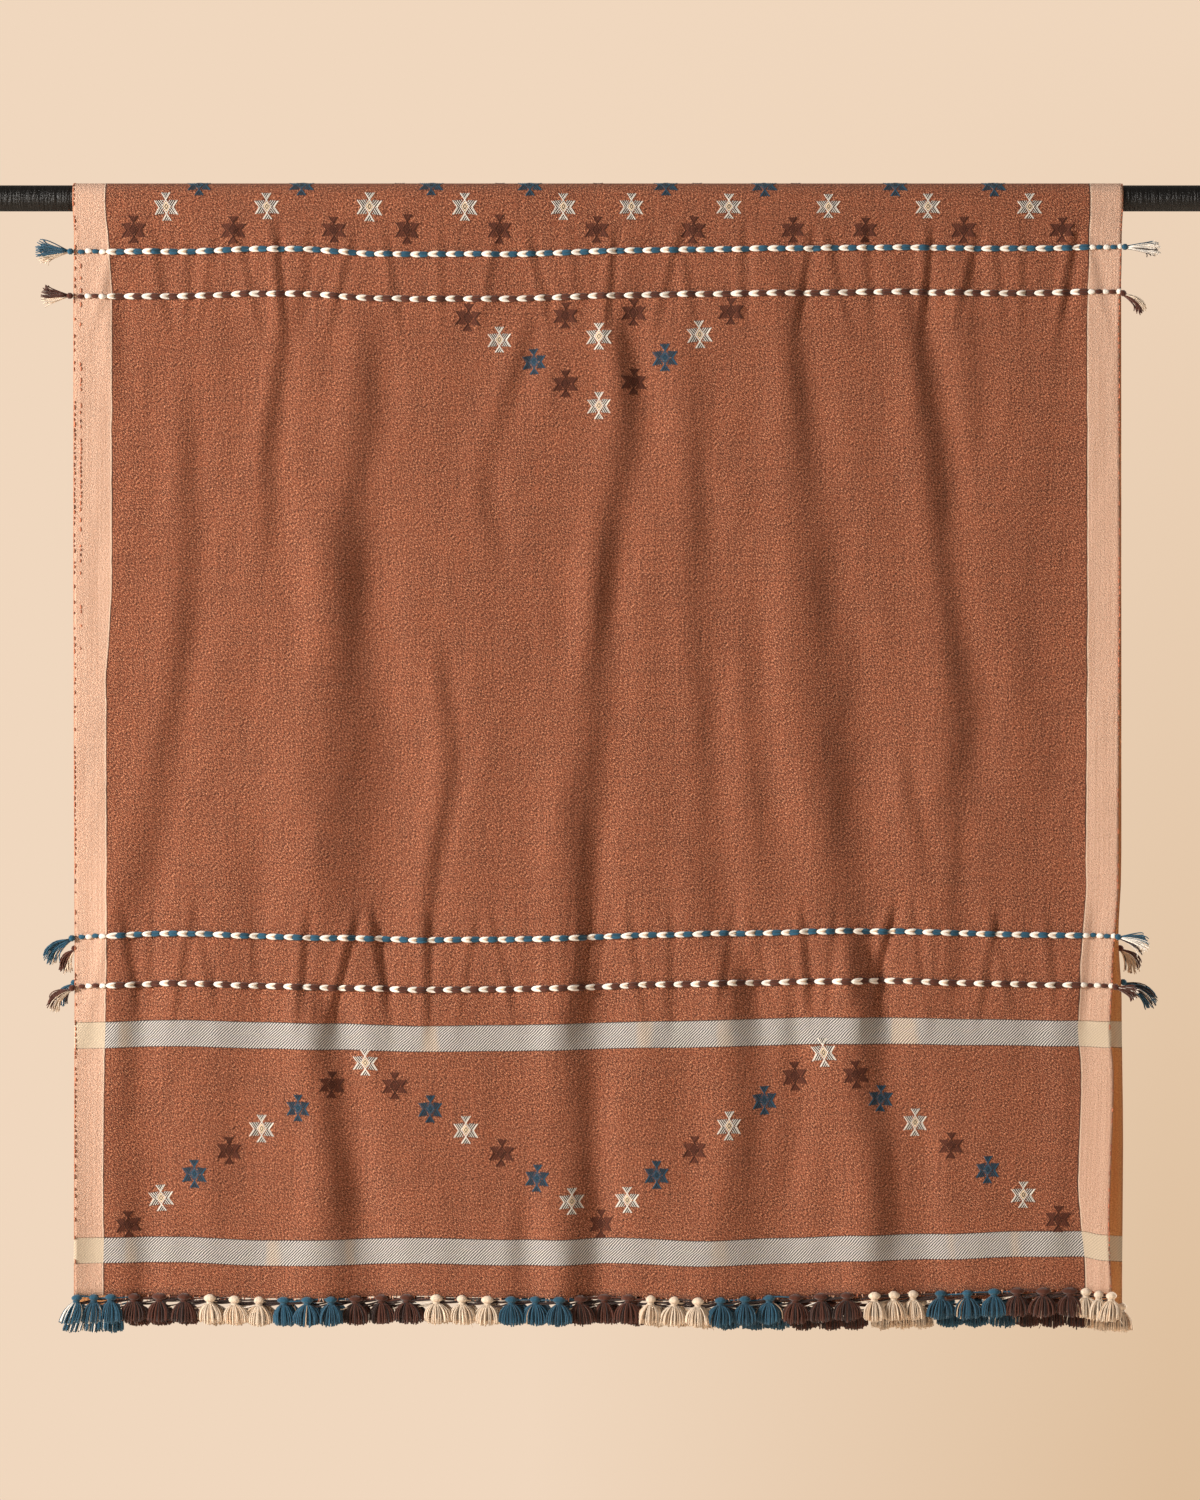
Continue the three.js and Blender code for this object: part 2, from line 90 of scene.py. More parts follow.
# Each fold is a soft ridge with a soft trough on its right: (path, width, height, fade). The path
# holds (x, depth) points, the width goes from its top to its foot, the ridge stands out by 0.6 of the
# height, and fade is the length over which it grows at the top and dies away at the foot.
FRONT_FOLDS = [
    ([(-217, 130), (-224, 215), (-234, 300)], (13, 19), 6, 60),
    (
        [(-238, 330), (-236, 400), (-238, 480), (-238, 537), (-240, 610), (-244, 690)],
        (25, 40), 14, 90,
    ),
    ([(-214, 690), (-210, 830)], (12, 12), 3.6, 45),
    (
        [(20, 125), (30, 193), (12, 308), (3, 400), (-7, 537), (-11, 652), (-10, 972), (-16, 1240)],
        (15, 16), 8, 60,
    ),
    ([(-28, 590), (-29, 900), (-27, 1240)], (15, 21), 8, 110),
    ([(182, 80), (193, 190), (203, 308), (210, 340)], (13, 21), 6.6, 60),
    ([(209, 380), (218, 470), (225, 560), (234, 652), (234, 710)], (26, 31), 11.5, 90),
    ([(303, 125), (314, 193), (326, 308), (338, 423), (346, 490), (341, 570)], (14, 18), 8, 75),
    ([(341, 620), (340, 680), (334, 760)], (11, 10), 2.8, 50),
    ([(292, 545), (306, 620)], (9, 9), 3.4, 35),
    ([(92, 180), (98, 400), (106, 700)], (15, 17), 4.6, 80),
    ([(142, 420), (152, 560), (162, 690)], (15, 17), 4.2, 70),
    ([(-150, 440), (-143, 555), (-152, 605), (-163, 690)], (9, 10), 4.2, 40),
    ([(-295, 110), (-309, 193), (-316, 260), (-315, 330)], (9, 11), 3.8, 45),
    ([(-391, 225), (-394, 365), (-405, 480), (-428, 594), (-447, 680)], (14, 17), 5, 70),
    ([(-449, 700), (-446, 900), (-438, 1240)], (15, 16), 5.2, 70),
    ([(-68, 130), (-88, 193), (-111, 251), (-104, 320)], (10, 11), 3.6, 45),
    ([(-100, 40), (-96, 110)], (16, 16), 2, 40),
    ([(355, 70), (358, 238)], (10, 10), 2.8, 45),
    ([(-466, 90), (-459, 175)], (8, 8), 2.4, 35),
    ([(-264, 775), (-258, 843), (-247, 930), (-243, 1240)], (16, 30), 12.5, 45),
    ([(132, 745), (143, 850), (140, 940), (144, 1240)], (17, 40), 11, 50),
    ([(180, 770), (182, 843), (172, 940)], (11, 12), 5, 50),
    ([(250, 730), (258, 800), (260, 850), (270, 909), (275, 972), (281, 1240)], (15, 31), 12.5, 45),
    ([(302, 860), (310, 1240)], (13, 14), 4, 70),
    ([(-76, 960), (-82, 1240)], (11, 12), 3, 50),
    ([(410, 300), (420, 640)], (26, 28), 2, 90),
    ([(-340, 640), (-356, 900), (-350, 1240)], (20, 24), 2.4, 90),
    ([(452, 760), (446, 1240)], (12, 13), 2.6, 60),
    ([(60, 800), (74, 930)], (17, 20), 2.2, 60),
]
BACK_FOLDS = [
    ([(405, 115), (400, 345), (380, 575)], (17, 17), 5.9, 45),
    ([(372, 605), (372, 905), (384, 1250)], (16, 16), 5.6, 45),
    ([(268, 195), (280, 455), (292, 715)], (15, 15), 7.2, 45),
    ([(205, 465), (201, 835), (178, 1250)], (22, 20), 6.3, 45),
    ([(96, 105), (90, 290), (84, 475)], (14, 14), 6.6, 45),
    ([(70, 475), (76, 840), (98, 1250)], (15, 15), 6.9, 45),
    ([(-34, 255), (-43, 465), (-52, 675)], (24, 24), 4.9, 45),
    ([(-140, 125), (-125, 360), (-122, 595)], (15, 15), 7.6, 45),
    ([(-118, 645), (-127, 925), (-136, 1250)], (14, 14), 6.6, 45),
    ([(-262, 165), (-260, 560), (-238, 955)], (20, 20), 5.6, 45),
    ([(-352, 95), (-362, 305), (-372, 515)], (14, 14), 6.6, 45),
    ([(-396, 525), (-380, 865), (-380, 1250)], (16, 16), 5.9, 45),
    ([(-462, 135), (-459, 255), (-456, 375)], (12, 12), 3.3, 45),
    ([(330, 300), (322, 420)], (8, 9), 3, 35),
    ([(150, 640), (132, 770)], (9, 10), 3, 35),
    ([(-84, 300), (-98, 410)], (8, 9), 2.6, 35),
    ([(-310, 640), (-300, 800)], (12, 14), 3.8, 50),
    ([(30, 830), (24, 960)], (10, 12), 3, 40),
    ([(-196, 880), (-188, 1250)], (12, 12), 3, 50),
]

# Short pleats that the tight cords draw into the cloth: (x, height) for each.
FRONT_TOP_PUCKERS = [
    (-468, 1.2), (-419, 1.4), (-392, 1.2), (-373, 1.1), (-336, 1.5), (-306, 2.8), (-280, 1.4),
    (-244, 1.8), (-197, 1.5), (-150, 1.1), (-104, 1.3), (-58, 1.8), (-22, 1), (11, 2.6), (67, 1.9),
    (84, 1.3), (137, 1.7), (196, 2.2), (226, 1.7), (256, 1.5), (312, 3), (352, 1.6), (380, 1.1),
    (404, 1.6), (448, 2.8), (474, 1.2),
]  # fmt: skip
FRONT_LOW_PUCKERS = [
    (-472, 1), (-449, 1.6), (-429, 1.2), (-396, 1.6), (-376, 1.2), (-330, 1.1), (-283, 2.6),
    (-244, 2.8), (-210, 2.7), (-164, 2.8), (-125, 1.6), (-92, 1.5), (-49, 1.2), (-19, 2.8),
    (-2, 1.2), (34, 1.5), (67, 1.7), (120, 1.6), (153, 1.5), (196, 2.8), (220, 1.5), (269, 3.4),
    (305, 1.5), (319, 1.3), (372, 1.8), (384, 1.2), (431, 1.9), (465, 1.4),
]  # fmt: skip
BACK_TOP_PUCKERS = [
    (-470, 1.1), (-441, 1.6), (-402, 2.4), (-376, 1.3), (-338, 1.7), (-296, 1.4), (-262, 2.6),
    (-231, 1.2), (-188, 1.8), (-163, 1.2), (-118, 2.4), (-74, 1.3), (-39, 1.7), (6, 1.2),
    (41, 2.2), (63, 1.4), (118, 1.6), (149, 2.6), (190, 1.3), (229, 1.9), (251, 1.1), (298, 2.5),
    (341, 1.4), (366, 1.7), (421, 2.3), (462, 1.4),
]  # fmt: skip
BACK_LOW_PUCKERS = [
    (-466, 1.3), (-434, 1.9), (-399, 1.2), (-358, 2.7), (-322, 1.4), (-287, 1.8), (-241, 1.3),
    (-209, 2.6), (-172, 1.2), (-133, 2.1), (-88, 1.5), (-51, 2.5), (-17, 1.2), (29, 1.8),
    (58, 2.6), (102, 1.4), (147, 1.7), (181, 2.7), (222, 1.3), (263, 1.9), (301, 2.5), (344, 1.3),
    (389, 1.8), (418, 2.4), (463, 1.3),
]  # fmt: skip
PUCKER_WIDTH = 4.2
PUCKER_SHARE = 1.35

# The side edges, as (depth, x), and the rolls of the front fall's edges.
FRONT_LEFT = [
    (0, -502.6), (36, -501), (98, -501.4), (346, -501.6), (480, -501.2), (766, -500.4),
    (1048, -500.4),
]  # fmt: skip
FRONT_RIGHT = [
    (0, 500.4), (50, 498.5), (127, 496.6), (384, 497), (652, 495.6), (747, 489.9), (795, 488),
    (838, 490.9), (986, 487), (1048, 489),
]  # fmt: skip
BACK_LEFT = [(0, -502), (60, -500), (350, -500), (500, -499.8), (800, -501.8), (1058, -500.4)]
BACK_RIGHT = [
    (0, 500.4), (100, 500.6), (640, 500.8), (705, 498), (765, 501), (900, 502.5), (1058, 501.5),
]  # fmt: skip

FRONT_ROLLS = [
    {"side": 1, "out": 6.5, "from_x": 418, "depths": (8, 90)},
    {"side": -1, "out": 8, "from_x": 450, "depths": (700, 960)},
]

# Yarn colours, as seen in full light.
YARNS = {
    "cream": (224, 206, 185),
    "white": (246, 240, 231),
    "tan": (206, 180, 153),
    "blue": (40, 84, 108),
    "brown": (82, 44, 32),
    "dark": (50, 34, 32),
    "rust": (176, 104, 74),
    "peach": (238, 190, 160),
    "ivory": (245, 222, 192),
    "umber": (112, 62, 45),
}

# The cords: the side is -1 for the front fall and 1 for the back, and left and right are the tassels
# past the ends. Each tassel has the place of its tip from the cord's end, the half width of its tip
# and its strands from the top of the fan down.
CORDS = {
    "front_cord_upper_blue": {
        "side": -1, "down": 52, "colour": "blue",
        "left": ((-36, -2, -1), 11.5, [("blue", 11), ("cream", 5)]),
        "right": ((37, -2, -3), 7, [("blue", 2), ("white", 6), ("dark", 1), ("white", 6), ("dark", 1)]),
    },
    "front_cord_upper_brown": {
        "side": -1, "down": 94.5, "colour": "brown",
        "left": ((-31, -2, 1), 8.5, [("brown", 9), ("cream", 4)]),
        "right": ((22, -3, -20), 5, [("cream", 8), ("brown", 6)]),
    },
    "front_cord_lower_blue": {
        "side": -1, "down": 705, "colour": "blue",
        "left": ((-27, -3, -24), 8, [("blue", 12), ("cream", 2), ("blue", 1)]),
        "right": ((32, -3, -11), 9, [("blue", 5), ("white", 6), ("tan", 1), ("white", 3), ("dark", 1)]),
    },
    "front_cord_lower_brown": {
        "side": -1, "down": 752.5, "colour": "brown",
        "left": ((-24, -3, -23), 7, [("brown", 7), ("cream", 7)]),
        "right": ((24, -3, -10), 7, [("brown", 3), ("white", 3), ("brown", 4), ("white", 2), ("brown", 2)]),
    },
    "back_cord_upper_brown": {
        "side": 1, "down": 62, "colour": "brown",
        "left": ((8, 10, -25), 4, [("brown", 8), ("cream", 5)]),
        "right": ((-8, 10, -25), 4, [("brown", 7), ("cream", 6)]),
    },
    "back_cord_upper_blue": {
        "side": 1, "down": 104, "colour": "blue",
        "left": ((8, 9, -26), 4, [("blue", 10), ("cream", 4)]),
        "right": ((-8, 9, -26), 4, [("blue", 8), ("cream", 6)]),
    },
    "back_cord_lower_brown": {
        "side": 1, "down": 715, "colour": "brown",
        "left": ((-12, 4, -26), 6, [("brown", 8), ("cream", 5)]),
        "right": ((17, 4, -25), 9, [("brown", 4), ("white", 3), ("tan", 5), ("dark", 1), ("tan", 2)]),
    },
    # Its tassels' dark strands are painted shade: blue strands that hang in shade, drawn dark.
    "back_cord_lower_blue": {
        "side": 1, "down": 748, "colour": "blue",
        "left": ((-16, 4, -24), 6, [("blue", 11), ("white", 1), ("dark", 2)]),
        "right": ((34, 3, -25), 8, [("dark", 3), ("blue", 5), ("white", 1), ("dark", 3), ("blue", 4)]),
    },
}  # fmt: skip

# The hem tassels hang in threes of one colour: (x of the middle one, pitch).
THREES = [
    (-481.3, 15.8), (-419.6, 23.9), (-347.9, 23.4), (-278.2, 22.9), (-207.9, 24.4),
    (-130.8, 24.4), (-60.8, 22.9), (5.1, 22.9), (71.9, 22.4), (139.4, 23.4), (212, 24.4),
    (281.4, 18.6), (351.7, 25.3), (424, 25), (476.5, 12),
]  # fmt: skip
THREE_COLOURS = ["blue", "brown", "cream"]  # in turn

# The star motifs of the front, as (x, depth) of their middles. A run above the rod's axis is
# given as a negative depth.
FRONT_MOTIFS = {
    "brown": [
        (-444, 31), (-349, 31), (-253, 31), (-183, 31), (-95, 31), (-2, 31), (90, 31), (185, 31),
        (254, 31), (348, 31), (442, 31), (-125, 115), (-32, 113), (33, 110), (126, 109),
        (-32, 178), (33, 176), (-449, 980), (-353, 910), (-255, 847), (-195, 848), (-93, 912),
        (2, 980), (91, 909), (187, 839), (245, 837), (336, 905), (438, 975),
    ],
    "white": [
        (-413, 9), (-317, 9), (-219, 9), (-128, 9), (-34, 9), (31, 9), (124, 9), (219, 9),
        (314, 9), (411, 9), (-95, 136), (0, 133), (96, 131), (0, 199), (-418, 955), (-322, 889),
        (-223, 826), (-127, 890), (-26, 958), (27, 957), (124, 886), (214, 816), (302, 883),
        (405, 952),
    ],
    "blue": [
        (-382, -14), (-284, -14), (-160, -14), (-66, -14), (64, -14), (158, -14), (283, -14),
        (377, -14), (-62, 157), (63, 153), (-386, 932), (-287, 869), (-161, 870), (-59, 936),
        (55, 933), (158, 862), (269, 860), (371, 928),
    ],
}  # fmt: skip
BACK_MOTIFS = {
    "brown": [
        (440, 34), (346, 35), (250, 34), (158, 34), (62, 35), (-33, 34), (-128, 35), (-222, 34),
        (-316, 35), (-410, 34), (128, 122), (34, 121), (-34, 121), (-126, 122), (34, 187),
        (-34, 186), (448, 986), (350, 918), (254, 850), (192, 852), (94, 918), (-2, 985),
        (-94, 916), (-190, 848), (-250, 846), (-340, 914), (-440, 982),
    ],
    "white": [
        (408, 12), (314, 12), (219, 12), (126, 12), (31, 12), (-64, 12), (-159, 12), (-253, 12),
        (-347, 12), (-441, 12), (96, 143), (0, 142), (-96, 143), (0, 208), (416, 962), (320, 896),
        (223, 830), (127, 897), (28, 963), (-30, 962), (-126, 894), (-218, 826), (-306, 890),
        (-406, 958),
    ],
    "blue": [
        (377, -10), (282, -10), (188, -10), (94, -10), (-1, -10), (-95, -10), (-190, -10),
        (-284, -10), (-378, -10), (64, 165), (-64, 164), (384, 939), (286, 874), (160, 874),
        (60, 940), (-58, 939), (-158, 870), (-272, 868), (-373, 936),
    ],
}  # fmt: skip


def eased(value, low, high):
    """Goes smoothly from 0 to 1 as value goes from low to high."""
    t = np.clip((value - low) / (high - low), 0, 1)
    return t * t * (3 - 2 * t)


def read_table(rows, place):
    """Reads (place, value) rows, smoothly from one to the next and level past the ends."""
    places, values = np.array(rows, float).T
    place = np.clip(place, places[0], places[-1])
    low = np.clip(np.searchsorted(places, place, side="right") - 1, 0, len(places) - 2)
    t = (place - places[low]) / (places[low + 1] - places[low])
    return values[low] + (values[low + 1] - values[low]) * t * t * (3 - 2 * t)


def read_path(path, down):
    """The x of a curve through (x, depth) points, carried straight on past its ends."""
    values, places = np.array(path, float).T
    slopes = np.gradient(values, places) if len(path) > 2 else np.diff(values) / np.diff(places)
    slopes = np.broadcast_to(slopes, values.shape)
    held = np.clip(down, places[0], places[-1])
    low = np.clip(np.searchsorted(places, held, side="right") - 1, 0, len(places) - 2)
    gap = places[low + 1] - places[low]
    t = (held - places[low]) / gap
    found = (
        (2 * t**3 - 3 * t**2 + 1) * values[low]
        + (t**3 - 2 * t**2 + t) * gap * slopes[low]
        + (3 * t**2 - 2 * t**3) * values[low + 1]
        + (t**3 - t**2) * gap * slopes[low + 1]
    )
    past = np.where(down > places[-1], slopes[-1], slopes[0])
    return found + past * (down - held)


def ridge_and_trough(off):
    return -off * np.exp(-off * off / 2)


def fold_bulge(fold, x, down):
    """How far one fold pushes the cloth out, at x and depth down."""
    path, (start, end), height, fade = fold
    phase, top = path[0]
    foot = path[-1][1]
    width = start + (end - start) * np.clip((down - top) / (foot - top), 0, 1)
    grown = eased(down, top - fade, top + fade / 2) * (1 - eased(down, foot - fade / 2, foot + fade))
    strays = np.sin(down / 41 + phase) + 0.4 * np.sin(down / 13.3 + 2 * phase)
    off = (x - read_path(path, down) - strays) / (width * (1 + 0.14 * np.sin(down / 39 + phase)))
    swells = 1 + 0.16 * np.sin(down / 33 + 1.7 * phase)
    return height * ridge_and_trough(off) * grown * swells


def weft_rise(rises, x, down):
    """How far the weft lines rise, read between the tables of the nearest two depths."""
    found = read_table(rises[0][1], x)
    for (low, _), (high, table) in zip(rises, rises[1:]):
        found = found + (read_table(table, x) - found) * eased(down, low, high)
    return found * eased(down, 0, 40)


def pucker_bulge(puckers, x, down, top, foot):
    """The pleats along one pair of cords, from depth top to depth foot."""
    shown = eased(down, top - 34, top) * (1 - eased(down, foot, foot + 60)) * PUCKER_SHARE
    found = np.zeros(np.broadcast(x, down).shape)
    for i, (place, height) in enumerate(puckers):
        reach = 1 - 0.5 * eased(down, foot, foot + 40) * (i % 3) / 2
        lean = 0.08 * ((i * 5) % 7 - 3)
        off = (x - place - lean * (down - (top + foot) / 2)) / PUCKER_WIDTH
        found = found + height * reach * ridge_and_trough(off)
    return found * shown


def crinkle(x, down):
    """The small unevenness of handwoven cloth: wandering wrinkles, each on only a part of it."""
    wandering = np.sin(x / 11.7 - down / 59 + 1.6 * np.sin(down / 91 + x / 150))
    return (
        0.34 * np.sin(x / 5.9 + 2.1 * np.sin(down / 43) + down / 31) * np.sin(down / 67 + x / 37)
        + 0.5 * wandering * np.sin(down / 83 + x / 53)
        + 0.3 * np.sin(x / 17.9 + down / 47 + 0.8) * np.sin(down / 23 + 1.7 * np.sin(x / 61))
        + 0.7 * np.sin(x / 31 + down / 210 + 1.9) * np.sin(down / 121 + x / 171 + 0.6)
        + 0.6 * np.sin(x / 71 + 0.4) * np.sin(down / 173 + x / 240)
    )


FALLS = {
    -1: {
        "hem": FRONT_HEM,
        "rises": FRONT_RISES,
        "rolls": FRONT_ROLLS,
        "left": FRONT_LEFT,
        "right": FRONT_RIGHT,
        "folds": FRONT_FOLDS,
        "puckers": [(FRONT_TOP_PUCKERS, 50, 98), (FRONT_LOW_PUCKERS, 700, 757)],
    },
    1: {
        "hem": BACK_HEM,
        "rises": BACK_RISES,
        "rolls": [],
        "left": BACK_LEFT,
        "right": BACK_RIGHT,
        "folds": BACK_FOLDS,
        "puckers": [(BACK_TOP_PUCKERS, 60, 106), (BACK_LOW_PUCKERS, 712, 752)],
    },
}


def fall_form(fall, share, down):
    """The x, the bulge and the rise of one fall, at shares across it and depths down it."""
    left, right = read_table(fall["left"], down), read_table(fall["right"], down)
    x = left + (right - left) * share
    bulge = sum(fold_bulge(fold, x, down) for fold in fall["folds"])
    bulge = bulge * eased(down, 8, 75)
    for puckers, top, foot in fall["puckers"]:
        bulge = bulge + pucker_bulge(puckers, x, down, top, foot)
    for roll in fall["rolls"]:
        past = np.maximum(x * roll["side"] - roll["from_x"], 0) / (FLAT_WIDTH / 2 - roll["from_x"])
        bulge = bulge + roll["out"] * past**2 * eased(down, *roll["depths"])
    bulge = bulge + crinkle(x, down) * eased(down, 4, 60)
    return x, bulge, weft_rise(fall["rises"], x, down)


def hang(share, run, offset):
    """Points of the cloth at shares across it and runs along it, offset from its inner face."""
    down = np.maximum(np.abs(run) - TURN_HALF, 0)
    front, back = (fall_form(FALLS[side], share, down) for side in (-1, 1))
    x, bulge, rise = (np.where(run < 0, a, b) for a, b in zip(front, back))
    angle = np.clip(run / (INNER + WALL), -math.pi / 2, math.pi / 2)
    radius = INNER + offset + bulge
    return np.stack([x, radius * np.sin(angle), radius * np.cos(angle) - down + rise], axis=-1)


def rows_of(parts):
    """Depths of the rows down one fall, from (depth, depth, count) parts."""
    return np.concatenate([np.linspace(a, b, n, endpoint=False) for a, b, n in parts])


SHARES = np.linspace(0, 1, COLUMNS + 1)
RUNS = np.concatenate([
    -np.append(rows_of(FRONT_ROWS), FRONT_HEM)[::-1] - TURN_HALF,
    np.linspace(-TURN_HALF, TURN_HALF, TURN_ROWS + 1)[1:-1],
    np.append(rows_of(BACK_ROWS), BACK_HEM) + TURN_HALF,
])  # fmt: skip
OUTER = hang(SHARES[:, None], RUNS[None, :], WALL)


def grid_normals(points):
    """Unit normals of a grid of points, out from the rod."""
    normals = np.cross(np.gradient(points, axis=0), np.gradient(points, axis=1))
    return normals / np.linalg.norm(normals, axis=-1, keepdims=True)


OUTER_NORMALS = grid_normals(OUTER)


def lay(points):
    """Moves (across, run, height) points onto the outer face of the cloth that hangs."""
    points = np.asarray(points, float)
    column = np.clip((points[:, 0] / FLAT_WIDTH + 0.5) * COLUMNS, 0, COLUMNS - 1e-6)
    row = np.interp(points[:, 1], RUNS, np.arange(len(RUNS)))
    row = np.clip(row, 0, len(RUNS) - 1 - 1e-6)
    i, j = column.astype(int), row.astype(int)
    s, t = (column - i)[:, None], (row - j)[:, None]

    def read(grid):
        low = grid[i, j] * (1 - s) + grid[i + 1, j] * s
        high = grid[i, j + 1] * (1 - s) + grid[i + 1, j + 1] * s
        return low * (1 - t) + high * t

    normals = read(OUTER_NORMALS)
    normals /= np.linalg.norm(normals, axis=1, keepdims=True)
    return read(OUTER) + normals * points[:, 2:3]


def run_at(side, down):
    return side * (down + TURN_HALF)


def across_at(side, x, down):
    """The place across the flat cloth of a place x on the fall that hangs."""
    fall = FALLS[side]
    left, right = read_table(fall["left"], down), read_table(fall["right"], down)
    return float(((x - left) / (right - left) - 0.5) * FLAT_WIDTH)


def linear(colour):
    """A colour of 0 to 255 as linear light."""
    shares = [c / 255 for c in colour]
    return tuple(c / 12.92 if c < 0.04 else ((c + 0.055) / 1.055) ** 2.4 for c in shares)


def yarn(name, shade=1.0):
    return tuple(c * shade for c in linear(YARNS[name]))


def about(random, share):
    """A factor that strays from 1 by about this share."""
    return 1 + share * random.standard_normal()


def make_object(name, points, faces, material, smooth=True):
    """An object from points in mm."""
    mesh = bpy.data.meshes.new(name)
    mesh.from_pydata((np.asarray(points) * MM).tolist(), [], faces)
    mesh.polygons.foreach_set("use_smooth", [smooth] * len(mesh.polygons))
    mesh.materials.append(material)
    mesh.update()
    made = bpy.data.objects.new(name, mesh)
    bpy.context.scene.collection.objects.link(made)
    return made


class Yarns:
    """Threads, knots and tassels that are gathered into one mesh, each point with its colour."""

    def __init__(self):
        self.points = []
        self.tints = []
        self.faces = []
        self.count = 0

    def add(self, points, faces, tint):
        """tint is one colour, or one for each point."""
        points = np.asarray(points, float)
        self.faces.extend([self.count + i for i in face] for face in faces)
        self.points.append(points)
        self.tints.append(np.broadcast_to(np.asarray(tint, float), points.shape))
        self.count += len(points)

    def tube(self, path, radii, sides, tint, ref=(0, 0, 1)):
        """A closed tube round a path. radii holds (beside, towards ref) for each point of it."""
        path = np.asarray(path, float)
        radii = np.broadcast_to(np.asarray(radii, float), (len(path), 2))
        along = np.gradient(path, axis=0)
        along /= np.linalg.norm(along, axis=1, keepdims=True)
        beside = np.cross(np.asarray(ref, float), along)
        beside /= np.maximum(np.linalg.norm(beside, axis=1, keepdims=True), 1e-9)
        up = np.cross(along, beside)
        angles = np.arange(sides) * 2 * math.pi / sides
        rings = (
            path[:, None]
            + beside[:, None] * (radii[:, :1] * np.cos(angles))[..., None]
            + up[:, None] * (radii[:, 1:] * np.sin(angles))[..., None]
        )
        if np.ndim(tint) == 2:
            tint = np.repeat(tint, sides, axis=0)
        self.add(rings.reshape(-1, 3), tube_faces(len(path), sides), tint)

    def build(self, name, placed=None):
        """The object. placed moves its points to where they hang, if they are laid out flat."""
        points = np.concatenate(self.points)
        made = make_object(name, placed(points) if placed else points, self.faces, YARN)
        tints = np.ones((len(points), 4))
        tints[:, :3] = np.concatenate(self.tints)
        layer = made.data.color_attributes.new(name="yarn", type="FLOAT_COLOR", domain="POINT")
        layer.data.foreach_set("color", tints.ravel())
        return made


@cache
def tube_faces(rings, sides):
    """The faces of a closed tube of so many rings, facing out."""
    faces = []
    for low in range(0, (rings - 1) * sides, sides):
        for j in range(sides):
            k = (j + 1) % sides
            faces.append((low + j, low + k, low + sides + k, low + sides + j))
    faces.append(tuple(reversed(range(sides))))
    faces.append(tuple(range((rings - 1) * sides, rings * sides)))
    return faces


class Nodes:
    """Builds shader nodes from short calls. A value is a number, a colour or a node's output."""

    def __init__(self, tree):
        self.nodes = tree.nodes
        self.links = tree.links

    def put(self, socket, value):
        if isinstance(value, bpy.types.NodeSocket):
            self.links.new(value, socket)
        elif isinstance(value, tuple) and len(value) == 3 and socket.type == "RGBA":
            socket.default_value = (*value, 1)
        else:
            socket.default_value = value

    def new(self, kind, values=(), **settings):
        """The outputs of a new node. values are its inputs, in order or by their keys."""
        node = self.nodes.new("ShaderNode" + kind)
        for key, setting in settings.items():
            setattr(node, key, setting)
        for key, value in values.items() if isinstance(values, dict) else enumerate(values):
            self.put(node.inputs[key], value)
        return node.outputs

    def math(self, operation, *values):
        return self.new("Math", values, operation=operation)[0]

    def times(self, a, b):
        return self.math("MULTIPLY", a, b)

    def scaled(self, value, scale, offset):
        return self.math("MULTIPLY_ADD", value, scale, offset)

    def step(self, value, low, high, kind="SMOOTHSTEP"):
        """0 below low and 1 above high, smooth between."""
        limits = {"Value": value, "From Min": low, "From Max": high}
        return self.new("MapRange", limits, interpolation_type=kind)["Result"]

    def between(self, value, low, high, soft=0.3):
        """1 between low and high, and 0 outside."""
        rising = self.step(value, low - soft, low + soft)
        falling = self.step(value, high + soft, high - soft)
        return self.times(rising, falling)

    def mix(self, factor, a, b, blend="MIX"):
        return self.new("Mix", {0: factor, 6: a, 7: b}, data_type="RGBA", blend_type=blend)[2]

    def point(self, x, y, z=0.0):
        return self.new("CombineXYZ", (x, y, z))[0]

    def noise(self, vector, scale=1.0, detail=2.0, roughness=0.5):
        values = {"Vector": vector, "Scale": scale, "Detail": detail, "Roughness": roughness}
        return self.new("TexNoise", values)["Fac"]

    def wave(self, phase):
        """Goes from 0 to 1 and back once for each whole step of phase."""
        turned = self.math("COSINE", self.times(phase, 2 * math.pi))
        return self.scaled(turned, -0.5, 0.5)

    def bump(self, height, distance, strength=1.0):
        return self.new("Bump", {"Strength": strength, "Distance": distance, "Height": height})[0]


class Shader(Nodes):
    """A material. The inputs of its skin are set by name, with _ for a space."""

    def __init__(self, name, **inputs):
        self.material = bpy.data.materials.new(name)
        self.material.use_nodes = True
        super().__init__(self.material.node_tree)
        self.skin = self.nodes["Principled BSDF"]
        self.finish(**inputs)

    def finish(self, **inputs):
        for key, value in inputs.items():
            self.put(self.skin.inputs[key.replace("_", " ")], value)
        return self.material


# The cloth's tones, as seen in full light.
CLOTH_TONES = {
    "rust_deep": (140, 78, 54),
    "rust_bright": (177, 102, 72),
    "rust_mottle": (172, 97, 66),
    "rust_weft": (134, 76, 54),
    "grain_dark": (74, 34, 22),
    "grain_light": (240, 168, 128),
    "border_rim": (250, 222, 198),
    "border_line": (70, 42, 34),
    "selvedge": (204, 132, 92),
    "stripe": (213, 208, 203),
    "stripe_warm": (230, 208, 182),
    "stripe_cool": (214, 212, 200),
    "twill": (66, 64, 68),
    "twill_warm": (176, 144, 118),
    "stripe_in_border": (214, 197, 174),
    "twill_in_border": (186, 166, 142),
    "stripe_edge": (66, 42, 38),
}
FACE_BORDER = [(247, 222, 202), (237, 195, 170), (207, 157, 130)]  # light, middle, dark
# The inner face's border tones are brighter and more orange than the outer face's. This is painted light:
# it stands for light shining through the cloth where the inner face lies in shade.
REVERSE_BORDER_PAINTED_GLOW = [(248, 196, 132), (234, 166, 106), (200, 126, 74)]
STRIPES = ((787, 812), (992.6, 1017))  # depths of their edges, on both falls
TWILL_PITCH = 2.9
TWILL_LEAN = 1.06


